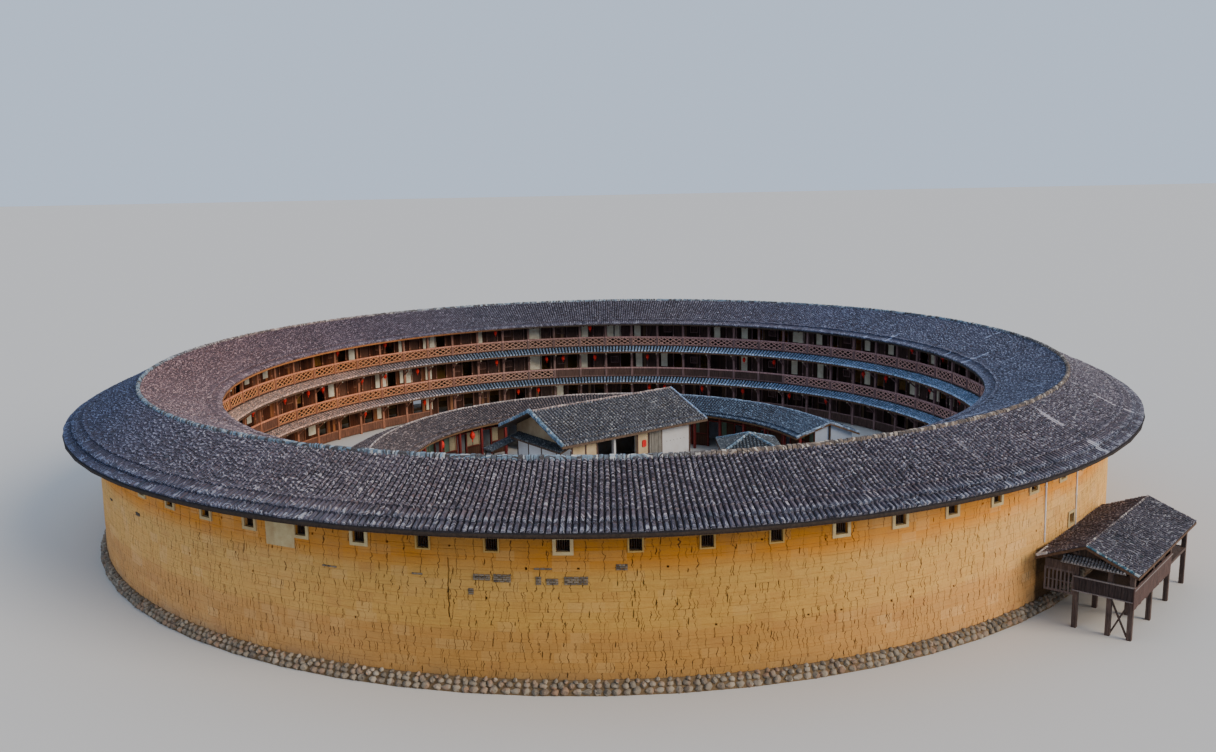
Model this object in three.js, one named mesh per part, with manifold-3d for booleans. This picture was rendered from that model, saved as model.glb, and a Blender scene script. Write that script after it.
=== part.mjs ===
// Round earth-walled roundhouse of three storeys, built as a 1:2 scale model.
// Units are millimetres of the model, +Z up, with the ring's centre on the ground at the origin.

import * as THREE from 'three';
import { mergeVertices } from 'three/addons/utils/BufferGeometryUtils.js';
import Module from 'manifold-3d';

const wasm = await Module();
wasm.setup();

// Driving dimensions of the ring, as radii from its centre and heights above the ground
const GAP = 0.3;
const CUT_MARGIN = 100;
const BAYS = 68;
const FIRST_BAY_TURN_DEG = -0.57;
const WALL_RADIUS = 15000;
const WALL_TOP_RADIUS = 14930;
const WALL_INNER_RADIUS = 14280;
const WALL_SEGMENTS = 12;
const PLINTH_HEIGHT = 270;
const PLINTH_TOP_RADIUS = 15040;
const PLINTH_FOOT_RADIUS = 15150;
const PLINTH_RUNS = 4;

const OUTER_EAVE_RADIUS = 15780;
const OUTER_EAVE_TOP = 3470;
const RIDGE_RADIUS = 13850;
const RIDGE_TOP = 4400;
const INNER_EAVE_RADIUS = 11690;
const INNER_EAVE_TOP = 3620;
const ROOF_THICKNESS = 110;
const EAVE_THICKNESS = 50;
const ROOF_SEGMENTS = 4;
const RIDGE_CAP_HALF_WIDTH = 60;
const RIDGE_CAP_HEIGHT = 90;

const STOREY_HEIGHT = 1350;
const SECOND_FLOOR_TOP = 1260;
const THIRD_FLOOR_TOP = SECOND_FLOOR_TOP + STOREY_HEIGHT;
const FLOOR_THICKNESS = 90;
const FLOOR_INNER_RADIUS = 12190;
const POST_RADIUS = 12240;
const POST_SIZE = 90;
const RAIL_THICKNESS = 50;
const RAIL_HEIGHT = 60;
const RAIL_TOP_ABOVE_FLOOR = 405;
const PLATE_HEIGHT = 90;
const ROOM_FRONT_RADIUS = 12800;
const ROOM_FRONT_THICKNESS = 60;
const ROOM_DOOR_WIDTH = 420;
const ROOM_DOOR_HEIGHT = 950;
const ROOM_DOOR_OFFSET = -270;
const WAIST_ROOF_RADIUS = 11736;
const WAIST_ROOF_DROP = 165;
const WAIST_ROOF_THICKNESS = 60;
const WAIST_ROOF_BELOW_FLOOR = 20;

// Openings through the earth wall
const WINDOW_WIDTH = 260;
const WINDOW_HEIGHT = 260;
const WINDOW_CENTRE_HEIGHT = 2985;
const LOW_WINDOW_AZIMUTH_DEG = -43.4;
const LOW_WINDOW_CENTRE_HEIGHT = 1790;
const DOORWAY_BAY = 23;
const DOORWAY_WIDTH = 850;
const DOORWAY_SILL = 120;
const DOORWAY_TOP = 1150;

// One-storey inner ring, a horseshoe around its own centre
const INNER_CENTRE = [190, -1575];
const INNER_START_DEG = 15;
const INNER_END_DEG = 237;
const INNER_BAYS = 24;
const INNER_RIDGE_RADIUS = 7500;
const INNER_RIDGE_TOP = 1725;
const INNER_COURT_EAVE_RADIUS = 6270;
const INNER_BACK_EAVE_RADIUS = 8560;
const INNER_EAVES_TOP = 1305;
const INNER_ROOF_THICKNESS = 60;
const INNER_COLUMN_RADIUS = 6450;
const INNER_COLUMN_SIZE = 80;
const INNER_PLATE_HEIGHT = 70;
const INNER_FRONT_RADIUS = 6950;
const INNER_FRONT_THICKNESS = 50;
const INNER_DOOR_WIDTH = 420;
const INNER_DOOR_HEIGHT = 950;
const INNER_BACK_WALL_RADIUS = 8340;
const INNER_BACK_WALL_THICKNESS = 160;
const INNER_GABLE_THICKNESS = 120;
const INNER_VERGE_DEG = 0.9;

// Hall in the middle of the court
const HALL_CENTRE = [-30, 975];
const HALL_TURN_DEG = 36.4;
const HALL_ROOF_HALF_LENGTH = 2985;
const HALL_ROOF_HALF_WIDTH = 1890;
const HALL_RIDGE_TOP = 2550;
const HALL_EAVES_TOP = 1740;
const HALL_ROOF_THICKNESS = 75;
const HALL_WALL_HALF_LENGTH = 2445;
const HALL_WALL_HALF_WIDTH = 1590;
const HALL_WALL_THICKNESS = 120;
const HALL_PLATFORM_HEIGHT = 60;
const HALL_PLATFORM_MARGIN = 160;
const HALL_OPENING_HEIGHT = 1540;
const HALL_OPENINGS = [[-1422, -785], [-705, 153]];
const HALL_SKIRT_DEPTH = 340;
const HALL_SKIRT_TOP = 1560;
const HALL_SKIRT_DROP = 130;
const HALL_SKIRT_THICKNESS = 50;
const HALL_SKIRT_RANGE = [-1480, 1480];

// Open shed beside the hall
const SHED_CENTRE = [4740, 45];
const SHED_HALF_WIDTH = 1000;
const SHED_APEX = 1500;
const SHED_EAVES = 1080;
const SHED_ROOF_THICKNESS = 60;
const SHED_POST_OFFSET = 760;
const SHED_POST_SIZE = 90;

// Timber porch on stilts against the outside of the wall
const PORCH_RADIUS = 16020;
const PORCH_AZIMUTH_DEG = -43.1;
const PORCH_TURN_DEG = 48.7;
const PORCH_ROOF_HALF_LENGTH = 2355;
const PORCH_OUTER_EAVE = -1095;
const PORCH_WALL_EAVE = 1041;
const PORCH_RIDGE_TOP = 1950;
const PORCH_EAVES_TOP = 1500;
const PORCH_ROOF_THICKNESS = 60;
const PORCH_POST_SIZE = 100;
const PORCH_POST_X = [-2100, -700, 700, 2100];
const PORCH_POST_Y = [-915, -480, 213];
const PORCH_FLOOR_TOP = 915;
const PORCH_FLOOR_THICKNESS = 60;
const PORCH_PARAPET_TOP = 1205;
const PORCH_PLANK_THICKNESS = 30;
const PORCH_SIDE_BOTTOM = 700;
const PORCH_SIDE_BAYS = 2;
const PORCH_SCREEN = { low: 740, high: 1270, near: 263 + GAP, far: 890, bars: 8, bar: 36, rail: 50 };

// Rainwater pipes on the outside of the wall
const PIPE_RADIUS = 20;
const PIPES = [
  { name: 'downpipe_1', azimuth: -48.8, low: 1560, high: 3300 },
  { name: 'downpipe_2', azimuth: -42.3, low: 1560, high: 3300 },
];

const BAY_ANGLE = 2 * Math.PI / BAYS;
const FIRST_BAY_TURN = THREE.MathUtils.degToRad(FIRST_BAY_TURN_DEG);
const END_GAP_ANGLE = GAP / 2 / INNER_EAVE_RADIUS;

const group = new THREE.Group();

function makeMaterial(color, roughness) {
  return new THREE.MeshStandardMaterial({ color, roughness, metalness: 0 });
}

const COLOURS = {
  earth: 0xc59a5c,
  stone: 0x8b8378,
  tile: 0x4a4449,
  ridge: 0xa39a98,
  timber: 0x5c3a2a,
  plaster: 0xd8ccb4,
  white: 0xdad8d4,
  pipe: 0xe6e4e2,
};

function addPiece(name, geometry, color, parent = group, roughness = 0.9) {
  const mesh = new THREE.Mesh(geometry, makeMaterial(color, roughness));
  mesh.name = name;
  parent.add(mesh);
  return mesh;
}

// A bay boundary's azimuth, where posts stand and the ring's facets meet
function bayAngle(index) {
  return FIRST_BAY_TURN + index * BAY_ANGLE;
}

function toSolid(source) {
  let geometry = source.clone();
  geometry.deleteAttribute('normal');
  geometry.deleteAttribute('uv');
  geometry = mergeVertices(geometry, 1e-3);
  return new wasm.Manifold(new wasm.Mesh({
    numProp: 3,
    vertProperties: new Float32Array(geometry.attributes.position.array),
    triVerts: new Uint32Array(geometry.index.array),
  }));
}

function toGeometry(solid) {
  const mesh = solid.getMesh();
  const geometry = new THREE.BufferGeometry();
  geometry.setAttribute('position', new THREE.BufferAttribute(mesh.vertProperties, 3));
  geometry.setIndex(new THREE.BufferAttribute(mesh.triVerts, 1));
  geometry.computeVertexNormals();
  return geometry;
}

function cut(geometry, cutters) {
  return toGeometry(cutters.reduce((solid, cutter) => solid.subtract(toSolid(cutter)), toSolid(geometry)));
}

function join(geometries) {
  const [first, ...others] = geometries;
  return toGeometry(others.reduce((solid, other) => solid.add(toSolid(other)), toSolid(first)));
}

function box(low, high) {
  const size = high.map((value, axis) => value - low[axis]);
  const centre = high.map((value, axis) => (value + low[axis]) / 2);
  return new THREE.BoxGeometry(...size).translate(...centre);
}

// A box that points away from the centre at one azimuth
function radialBox(azimuth, radii, sides, heights) {
  return box([radii[0], sides[0], heights[0]], [radii[1], sides[1], heights[1]]).rotateZ(azimuth);
}

// A closed outline of [radius, height] points, listed anticlockwise, swept through a list of azimuths
function sweep(outline, angles, closed = false) {
  const count = outline.length;
  const positions = angles.flatMap((angle) => outline.flatMap(
    ([radius, height]) => [radius * Math.cos(angle), radius * Math.sin(angle), height]));
  const indices = [];
  const spans = closed ? angles.length : angles.length - 1;
  for (let span = 0; span < spans; span += 1) {
    const here = span * count;
    const there = ((span + 1) % angles.length) * count;
    for (let point = 0; point < count; point += 1) {
      const next = (point + 1) % count;
      indices.push(here + point, there + next, there + point);
      indices.push(here + point, here + next, there + next);
    }
  }
  if (!closed) {
    const contour = outline.map(([radius, height]) => new THREE.Vector2(radius, height));
    const last = (angles.length - 1) * count;
    for (const [a, b, c] of THREE.ShapeUtils.triangulateShape(contour, [])) {
      indices.push(a, c, b);
      indices.push(last + a, last + b, last + c);
    }
  }
  const geometry = new THREE.BufferGeometry();
  geometry.setAttribute('position', new THREE.Float32BufferAttribute(positions, 3));
  geometry.setIndex(indices);
  return faceOutwards(geometry);
}

// Turns the faces round where the enclosed volume comes out negative
function faceOutwards(geometry) {
  const { position } = geometry.attributes;
  const index = geometry.index.array;
  const [a, b, c] = [new THREE.Vector3(), new THREE.Vector3(), new THREE.Vector3()];
  let volume = 0;
  for (let face = 0; face < index.length; face += 3) {
    a.fromBufferAttribute(position, index[face]);
    b.fromBufferAttribute(position, index[face + 1]);
    c.fromBufferAttribute(position, index[face + 2]);
    volume += a.dot(b.cross(c));
  }
  if (volume < 0) {
    for (let face = 0; face < index.length; face += 3) {
      [index[face + 1], index[face + 2]] = [index[face + 2], index[face + 1]];
    }
  }
  geometry.computeVertexNormals();
  return geometry;
}

// The azimuths of a run of whole bays, drawn in a hair at both ends
function bayRun(from, to) {
  const angles = [];
  for (let index = from; index <= to; index += 1) {
    angles.push(bayAngle(index));
  }
  angles[0] += END_GAP_ANGLE;
  angles[angles.length - 1] -= END_GAP_ANGLE;
  return angles;
}

function ringOfBays(outline) {
  const angles = Array.from({ length: BAYS }, (_, index) => bayAngle(index));
  return sweep(outline, angles, true);
}

function addSegments(name, outline, segments, color, finish = (geometry) => geometry) {
  for (let segment = 0; segment < segments; segment += 1) {
    const from = Math.round(segment * BAYS / segments);
    const to = Math.round((segment + 1) * BAYS / segments);
    addPiece(`${name}_${segment + 1}`, finish(sweep(outline, bayRun(from, to)), from, to), color);
  }
}

// Height at a radius on the line from the main roof's ridge to the nearer eave
function slopeHeight(radius, ridge, outerEave, innerEave) {
  const [eaveRadius, eave] = radius < RIDGE_RADIUS
    ? [INNER_EAVE_RADIUS, innerEave]
    : [OUTER_EAVE_RADIUS, outerEave];
  return ridge + (radius - RIDGE_RADIUS) / (eaveRadius - RIDGE_RADIUS) * (eave - ridge);
}

function roofTop(radius) {
  return slopeHeight(radius, RIDGE_TOP, OUTER_EAVE_TOP, INNER_EAVE_TOP);
}

function roofUnderside(radius) {
  return slopeHeight(radius, RIDGE_TOP - ROOF_THICKNESS, OUTER_EAVE_TOP - EAVE_THICKNESS,
    INNER_EAVE_TOP - EAVE_THICKNESS);
}

// Distance from the centre to the earth wall's outer face at an azimuth and height
function wallFace(azimuth, height) {
  const rise = (height - PLINTH_HEIGHT) / (roofUnderside(WALL_TOP_RADIUS) - PLINTH_HEIGHT);
  const radius = WALL_RADIUS + rise * (WALL_TOP_RADIUS - WALL_RADIUS);
  const turn = (azimuth - FIRST_BAY_TURN) / BAY_ANGLE;
  const offCentre = (turn - Math.floor(turn) - 0.5) * BAY_ANGLE;
  return radius * Math.cos(BAY_ANGLE / 2) / Math.cos(offCentre);
}

// Rammed earth wall in segments, with a window to each bay and one doorway

function windowCutter(azimuth, height) {
  return radialBox(azimuth, [WALL_INNER_RADIUS - CUT_MARGIN, WALL_RADIUS + CUT_MARGIN],
    [-WINDOW_WIDTH / 2, WINDOW_WIDTH / 2], [height - WINDOW_HEIGHT / 2, height + WINDOW_HEIGHT / 2]);
}

function doorwayBox(sides, heights) {
  return radialBox(bayAngle(DOORWAY_BAY + 0.5),
    [WALL_INNER_RADIUS - CUT_MARGIN, PLINTH_FOOT_RADIUS + CUT_MARGIN], sides, heights);
}

const doorwaySide = DOORWAY_WIDTH / 2;
const doorwayCutter = doorwayBox([-doorwaySide, doorwaySide], [DOORWAY_SILL, DOORWAY_TOP]);

const lowWindowAzimuth = THREE.MathUtils.degToRad(LOW_WINDOW_AZIMUTH_DEG);
const lowWindowBay = (lowWindowAzimuth - FIRST_BAY_TURN) / BAY_ANGLE + BAYS;

addSegments('outer_wall', [
  [WALL_INNER_RADIUS, PLINTH_HEIGHT + GAP],
  [WALL_RADIUS, PLINTH_HEIGHT + GAP],
  [WALL_TOP_RADIUS, roofUnderside(WALL_TOP_RADIUS) - GAP],
  [WALL_INNER_RADIUS, roofUnderside(WALL_INNER_RADIUS) - GAP],
], WALL_SEGMENTS, COLOURS.earth, (geometry, from, to) => {
  const cutters = [];
  for (let bay = from; bay < to; bay += 1) {
    cutters.push(windowCutter(bayAngle(bay + 0.5), WINDOW_CENTRE_HEIGHT));
  }
  if (lowWindowBay > from && lowWindowBay < to) {
    cutters.push(windowCutter(lowWindowAzimuth, LOW_WINDOW_CENTRE_HEIGHT));
  }
  if (DOORWAY_BAY >= from && DOORWAY_BAY < to) {
    cutters.push(doorwayCutter);
  }
  return cut(geometry, cutters);
});

// Rubble plinth in four runs from one side of the doorway to the other, where they stop at its stone sill

const bayWidth = WALL_RADIUS * BAY_ANGLE;
const plinthBays = BAYS + 1;
for (let run = 0; run < PLINTH_RUNS; run += 1) {
  const from = DOORWAY_BAY + Math.round(run * plinthBays / PLINTH_RUNS);
  const to = DOORWAY_BAY + Math.round((run + 1) * plinthBays / PLINTH_RUNS);
  let geometry = sweep([
    [WALL_INNER_RADIUS, 0],
    [PLINTH_FOOT_RADIUS, 0],
    [PLINTH_TOP_RADIUS, PLINTH_HEIGHT],
    [WALL_INNER_RADIUS, PLINTH_HEIGHT],
  ], bayRun(from, to));
  if (run === 0 || run === PLINTH_RUNS - 1) {
    const sides = run === 0 ? [-bayWidth, doorwaySide] : [-doorwaySide, bayWidth];
    geometry = cut(geometry, [doorwayBox(sides, [-CUT_MARGIN, PLINTH_HEIGHT + CUT_MARGIN])]);
  }
  addPiece(`stone_plinth_${run + 1}`, geometry, COLOURS.stone);
}
addPiece('doorway_sill', radialBox(bayAngle(DOORWAY_BAY + 0.5),
  [WALL_INNER_RADIUS, PLINTH_TOP_RADIUS], [GAP - doorwaySide, doorwaySide - GAP],
  [0, DOORWAY_SILL]), COLOURS.stone);

// Main roof over the ring, and the cap along its ridge

addSegments('ring_roof', [
  [INNER_EAVE_RADIUS, roofUnderside(INNER_EAVE_RADIUS)],
  [RIDGE_RADIUS, roofUnderside(RIDGE_RADIUS)],
  [OUTER_EAVE_RADIUS, roofUnderside(OUTER_EAVE_RADIUS)],
  [OUTER_EAVE_RADIUS, OUTER_EAVE_TOP],
  [RIDGE_RADIUS, RIDGE_TOP],
  [INNER_EAVE_RADIUS, INNER_EAVE_TOP],
], ROOF_SEGMENTS, COLOURS.tile);

const capInner = RIDGE_RADIUS - RIDGE_CAP_HALF_WIDTH;
const capOuter = RIDGE_RADIUS + RIDGE_CAP_HALF_WIDTH;

addSegments('ridge_cap', [
  [capInner, roofTop(capInner) + GAP],
  [RIDGE_RADIUS, RIDGE_TOP + GAP],
  [capOuter, roofTop(capOuter) + GAP],
  [capOuter, RIDGE_TOP + RIDGE_CAP_HEIGHT / 2],
  [RIDGE_RADIUS + RIDGE_CAP_HALF_WIDTH / 2, RIDGE_TOP + RIDGE_CAP_HEIGHT],
  [RIDGE_RADIUS - RIDGE_CAP_HALF_WIDTH / 2, RIDGE_TOP + RIDGE_CAP_HEIGHT],
  [capInner, RIDGE_TOP + RIDGE_CAP_HEIGHT / 2],
], 2, COLOURS.ridge);

// Upper floors, from the gallery's edge to the earth wall

function addFloor(name, top) {
  addSegments(name, [
    [FLOOR_INNER_RADIUS, top - FLOOR_THICKNESS],
    [WALL_INNER_RADIUS - GAP, top - FLOOR_THICKNESS],
    [WALL_INNER_RADIUS - GAP, top],
    [FLOOR_INNER_RADIUS, top],
  ], 2, COLOURS.timber);
}

addFloor('second_floor', SECOND_FLOOR_TOP);
addFloor('third_floor', THIRD_FLOOR_TOP);

// Gallery posts of each storey, tied by a plate or a handrail

function galleryFrame(low, high, tieLow, tieHigh) {
  const tie = ringOfBays([
    [POST_RADIUS - RAIL_THICKNESS / 2, tieLow],
    [POST_RADIUS + RAIL_THICKNESS / 2, tieLow],
    [POST_RADIUS + RAIL_THICKNESS / 2, tieHigh],
    [POST_RADIUS - RAIL_THICKNESS / 2, tieHigh],
  ]);
  const half = POST_SIZE / 2;
  const posts = Array.from({ length: BAYS }, (_, index) => radialBox(bayAngle(index),
    [POST_RADIUS - half, POST_RADIUS + half], [-half, half], [low, high]));
  return join([tie, ...posts]);
}

const secondFloorUnderside = SECOND_FLOOR_TOP - FLOOR_THICKNESS;
const thirdFloorUnderside = THIRD_FLOOR_TOP - FLOOR_THICKNESS;

addPiece('gallery_frame_1', galleryFrame(0, secondFloorUnderside - GAP,
  secondFloorUnderside - PLATE_HEIGHT, secondFloorUnderside - GAP), COLOURS.timber);

for (const [name, floor, ceiling] of [
  ['gallery_frame_2', SECOND_FLOOR_TOP, thirdFloorUnderside],
  ['gallery_frame_3', THIRD_FLOOR_TOP, roofUnderside(POST_RADIUS - POST_SIZE / 2)],
]) {
  const railTop = floor + RAIL_TOP_ABOVE_FLOOR;
  addPiece(name, galleryFrame(floor + GAP, ceiling - GAP, railTop - RAIL_HEIGHT, railTop), COLOURS.timber);
}

// Narrow tiled waist roofs that hang from the edges of the two upper floors

function addWaistRoof(name, floorTop) {
  const top = floorTop - WAIST_ROOF_BELOW_FLOOR;
  const attached = FLOOR_INNER_RADIUS - GAP;
  addPiece(name, ringOfBays([
    [WAIST_ROOF_RADIUS, top - WAIST_ROOF_DROP - WAIST_ROOF_THICKNESS],
    [attached, top - WAIST_ROOF_THICKNESS],
    [attached, top],
    [WAIST_ROOF_RADIUS, top - WAIST_ROOF_DROP],
  ]), COLOURS.tile);
}

addWaistRoof('waist_roof_2', SECOND_FLOOR_TOP);
addWaistRoof('waist_roof_3', THIRD_FLOOR_TOP);

// Room fronts behind the galleries, with a door to each bay

function roomFronts(low, high, doorTop) {
  const wall = ringOfBays([
    [ROOM_FRONT_RADIUS, low],
    [ROOM_FRONT_RADIUS + ROOM_FRONT_THICKNESS, low],
    [ROOM_FRONT_RADIUS + ROOM_FRONT_THICKNESS, high],
    [ROOM_FRONT_RADIUS, high],
  ]);
  const doors = Array.from({ length: BAYS }, (_, index) => radialBox(bayAngle(index + 0.5),
    [ROOM_FRONT_RADIUS - CUT_MARGIN, ROOM_FRONT_RADIUS + ROOM_FRONT_THICKNESS + CUT_MARGIN],
    [ROOM_DOOR_OFFSET - ROOM_DOOR_WIDTH / 2, ROOM_DOOR_OFFSET + ROOM_DOOR_WIDTH / 2],
    [low - CUT_MARGIN, doorTop]));
  return cut(wall, doors);
}

for (const [name, low, high] of [
  ['room_fronts_1', 0, secondFloorUnderside],
  ['room_fronts_2', SECOND_FLOOR_TOP + GAP, thirdFloorUnderside],
  ['room_fronts_3', THIRD_FLOOR_TOP + GAP, roofUnderside(ROOM_FRONT_RADIUS)],
]) {
  addPiece(name, roomFronts(low, high - GAP, low + ROOM_DOOR_HEIGHT), COLOURS.plaster);
}

// Inner ring, drawn around its own centre

const innerRing = new THREE.Group();
innerRing.position.set(...INNER_CENTRE, 0);
group.add(innerRing);

function innerAngle(index) {
  const span = INNER_END_DEG - INNER_START_DEG;
  return THREE.MathUtils.degToRad(INNER_START_DEG + span * index / INNER_BAYS);
}

// A run of the inner ring's bays, with the roof's verge beyond the first or last one
function innerRun(from, to, overhang = 0) {
  const angles = [];
  for (let index = from; index <= to; index += 1) {
    angles.push(innerAngle(index));
  }
  if (from > 0) {
    angles[0] += END_GAP_ANGLE;
  } else if (overhang > 0) {
    angles.unshift(angles[0] - overhang);
  }
  if (to < INNER_BAYS) {
    angles[angles.length - 1] -= END_GAP_ANGLE;
  } else if (overhang > 0) {
    angles.push(angles[angles.length - 1] + overhang);
  }
  return angles;
}

function innerUnderside(radius) {
  const eave = radius < INNER_RIDGE_RADIUS ? INNER_COURT_EAVE_RADIUS : INNER_BACK_EAVE_RADIUS;
  const share = (radius - INNER_RIDGE_RADIUS) / (eave - INNER_RIDGE_RADIUS);
  return INNER_RIDGE_TOP + share * (INNER_EAVES_TOP - INNER_RIDGE_TOP) - INNER_ROOF_THICKNESS;
}

const innerRoofOutline = [
  [INNER_COURT_EAVE_RADIUS, innerUnderside(INNER_COURT_EAVE_RADIUS)],
  [INNER_RIDGE_RADIUS, innerUnderside(INNER_RIDGE_RADIUS)],
  [INNER_BACK_EAVE_RADIUS, innerUnderside(INNER_BACK_EAVE_RADIUS)],
  [INNER_BACK_EAVE_RADIUS, INNER_EAVES_TOP],
  [INNER_RIDGE_RADIUS, INNER_RIDGE_TOP],
  [INNER_COURT_EAVE_RADIUS, INNER_EAVES_TOP],
];
const verge = THREE.MathUtils.degToRad(INNER_VERGE_DEG);
const innerMiddle = INNER_BAYS / 2;
for (const [name, from, to] of [
  ['inner_roof_1', 0, innerMiddle],
  ['inner_roof_2', innerMiddle, INNER_BAYS],
]) {
  addPiece(name, sweep(innerRoofOutline, innerRun(from, to, verge)), COLOURS.tile, innerRing);
}

const innerBackFace = INNER_BACK_WALL_RADIUS - INNER_BACK_WALL_THICKNESS;
const innerBackTop = innerUnderside(INNER_BACK_WALL_RADIUS) - GAP;
addPiece('inner_back_wall', sweep([
  [innerBackFace, 0],
  [INNER_BACK_WALL_RADIUS, 0],
  [INNER_BACK_WALL_RADIUS, innerBackTop],
  [innerBackFace, innerUnderside(innerBackFace) - GAP],
], innerRun(0, INNER_BAYS)), COLOURS.earth, innerRing);

const innerFrontBack = INNER_FRONT_RADIUS + INNER_FRONT_THICKNESS;
const innerDoors = Array.from({ length: INNER_BAYS }, (_, index) => radialBox(innerAngle(index + 0.5),
  [INNER_FRONT_RADIUS - CUT_MARGIN, innerFrontBack + CUT_MARGIN],
  [-INNER_DOOR_WIDTH / 2, INNER_DOOR_WIDTH / 2], [-CUT_MARGIN, INNER_DOOR_HEIGHT]));
addPiece('inner_room_fronts', cut(sweep([
  [INNER_FRONT_RADIUS, 0],
  [innerFrontBack, 0],
  [innerFrontBack, innerUnderside(INNER_FRONT_RADIUS) - GAP],
  [INNER_FRONT_RADIUS, innerUnderside(INNER_FRONT_RADIUS) - GAP],
], innerRun(0, INNER_BAYS)), innerDoors), COLOURS.plaster, innerRing);

const innerColumnTop = innerUnderside(INNER_COLUMN_RADIUS - INNER_COLUMN_SIZE / 2) - GAP;
const innerPlate = sweep([
  [INNER_COLUMN_RADIUS - INNER_COLUMN_SIZE / 4, innerColumnTop - INNER_PLATE_HEIGHT],
  [INNER_COLUMN_RADIUS + INNER_COLUMN_SIZE / 4, innerColumnTop - INNER_PLATE_HEIGHT],
  [INNER_COLUMN_RADIUS + INNER_COLUMN_SIZE / 4, innerColumnTop],
  [INNER_COLUMN_RADIUS - INNER_COLUMN_SIZE / 4, innerColumnTop],
], innerRun(0, INNER_BAYS));
const innerPosts = Array.from({ length: INNER_BAYS + 1 }, (_, index) => radialBox(innerAngle(index),
  [INNER_COLUMN_RADIUS - INNER_COLUMN_SIZE / 2, INNER_COLUMN_RADIUS + INNER_COLUMN_SIZE / 2],
  [-INNER_COLUMN_SIZE / 2, INNER_COLUMN_SIZE / 2], [0, innerColumnTop]));
addPiece('inner_columns', join([innerPlate, ...innerPosts]), COLOURS.timber, innerRing);

// A gable wall closes each end of the inner ring between its back wall and its room fronts
function innerGable(bay, angle, sides) {
  const endBay = sweep([
    [innerFrontBack + GAP, 0],
    [innerBackFace - GAP, 0],
    [innerBackFace - GAP, innerUnderside(innerBackFace) - GAP],
    [INNER_RIDGE_RADIUS, innerUnderside(INNER_RIDGE_RADIUS) - GAP],
    [innerFrontBack + GAP, innerUnderside(innerFrontBack) - GAP],
  ], innerRun(bay, bay + 1));
  const slice = radialBox(angle, [INNER_COURT_EAVE_RADIUS, INNER_BACK_EAVE_RADIUS], sides,
    [-CUT_MARGIN, INNER_RIDGE_TOP]);
  return toGeometry(toSolid(endBay).intersect(toSolid(slice)));
}
for (const [name, bay, corner, sides] of [
  ['inner_gable_wall_1', 0, 0, [-CUT_MARGIN, INNER_GABLE_THICKNESS]],
  ['inner_gable_wall_2', INNER_BAYS - 1, INNER_BAYS, [-INNER_GABLE_THICKNESS, CUT_MARGIN]],
]) {
  addPiece(name, innerGable(bay, innerAngle(corner), sides), COLOURS.white, innerRing);
}

// Hall in the court: x runs along its ridge and -y is its open front

const hall = new THREE.Group();
hall.position.set(...HALL_CENTRE, 0);
hall.rotation.z = THREE.MathUtils.degToRad(HALL_TURN_DEG);
group.add(hall);

// An outline of [y, z] points drawn out along x
function alongX(outline, from, to) {
  const shape = new THREE.Shape(outline.map(([y, z]) => new THREE.Vector2(y, z)));
  const solid = new THREE.ExtrudeGeometry(shape, { depth: to - from, bevelEnabled: false });
  return solid.rotateX(Math.PI / 2).rotateZ(Math.PI / 2).translate(from, 0, 0);
}

function gableUnderside(y, halfWidth, ridgeTop, eavesTop, thickness) {
  return ridgeTop - Math.abs(y) / halfWidth * (ridgeTop - eavesTop) - thickness;
}

function hallUnderside(y) {
  return gableUnderside(y, HALL_ROOF_HALF_WIDTH, HALL_RIDGE_TOP, HALL_EAVES_TOP, HALL_ROOF_THICKNESS);
}

const platformHalfLength = HALL_WALL_HALF_LENGTH + HALL_PLATFORM_MARGIN;
const platformHalfWidth = HALL_WALL_HALF_WIDTH + HALL_PLATFORM_MARGIN;
addPiece('hall_platform', box(
  [-platformHalfLength, -platformHalfWidth, 0],
  [platformHalfLength, platformHalfWidth, HALL_PLATFORM_HEIGHT],
), COLOURS.stone, hall);

function houseOutline(halfWidth, low) {
  return [
    [-halfWidth, low],
    [halfWidth, low],
    [halfWidth, hallUnderside(halfWidth) - GAP],
    [0, hallUnderside(0) - GAP],
    [-halfWidth, hallUnderside(halfWidth) - GAP],
  ];
}

const hallInnerHalfWidth = HALL_WALL_HALF_WIDTH - HALL_WALL_THICKNESS;
const hallWallLow = HALL_PLATFORM_HEIGHT + GAP;
const hallShell = alongX(houseOutline(HALL_WALL_HALF_WIDTH, hallWallLow), -HALL_WALL_HALF_LENGTH,
  HALL_WALL_HALF_LENGTH);
const hallRoom = alongX([
  [-hallInnerHalfWidth, 0],
  [hallInnerHalfWidth, 0],
  [hallInnerHalfWidth, HALL_RIDGE_TOP],
  [-hallInnerHalfWidth, HALL_RIDGE_TOP],
], -HALL_WALL_HALF_LENGTH + HALL_WALL_THICKNESS, HALL_WALL_HALF_LENGTH - HALL_WALL_THICKNESS);
const hallOpenings = HALL_OPENINGS.map(([from, to]) => box(
  [from, -HALL_WALL_HALF_WIDTH - CUT_MARGIN, 0],
  [to, -hallInnerHalfWidth + CUT_MARGIN, hallWallLow + HALL_OPENING_HEIGHT]));
addPiece('hall_walls', cut(hallShell, [hallRoom, ...hallOpenings]), COLOURS.white, hall);

function gableRoof(halfLength, low, high, underside, ridgeTop, lowTop, highTop, thickness) {
  return alongX([
    [low, lowTop - thickness],
    [0, underside],
    [high, highTop - thickness],
    [high, highTop],
    [0, ridgeTop],
    [low, lowTop],
  ], -halfLength, halfLength);
}

addPiece('hall_roof', gableRoof(HALL_ROOF_HALF_LENGTH, -HALL_ROOF_HALF_WIDTH, HALL_ROOF_HALF_WIDTH,
  hallUnderside(0), HALL_RIDGE_TOP, HALL_EAVES_TOP, HALL_EAVES_TOP, HALL_ROOF_THICKNESS), COLOURS.tile, hall);

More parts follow.
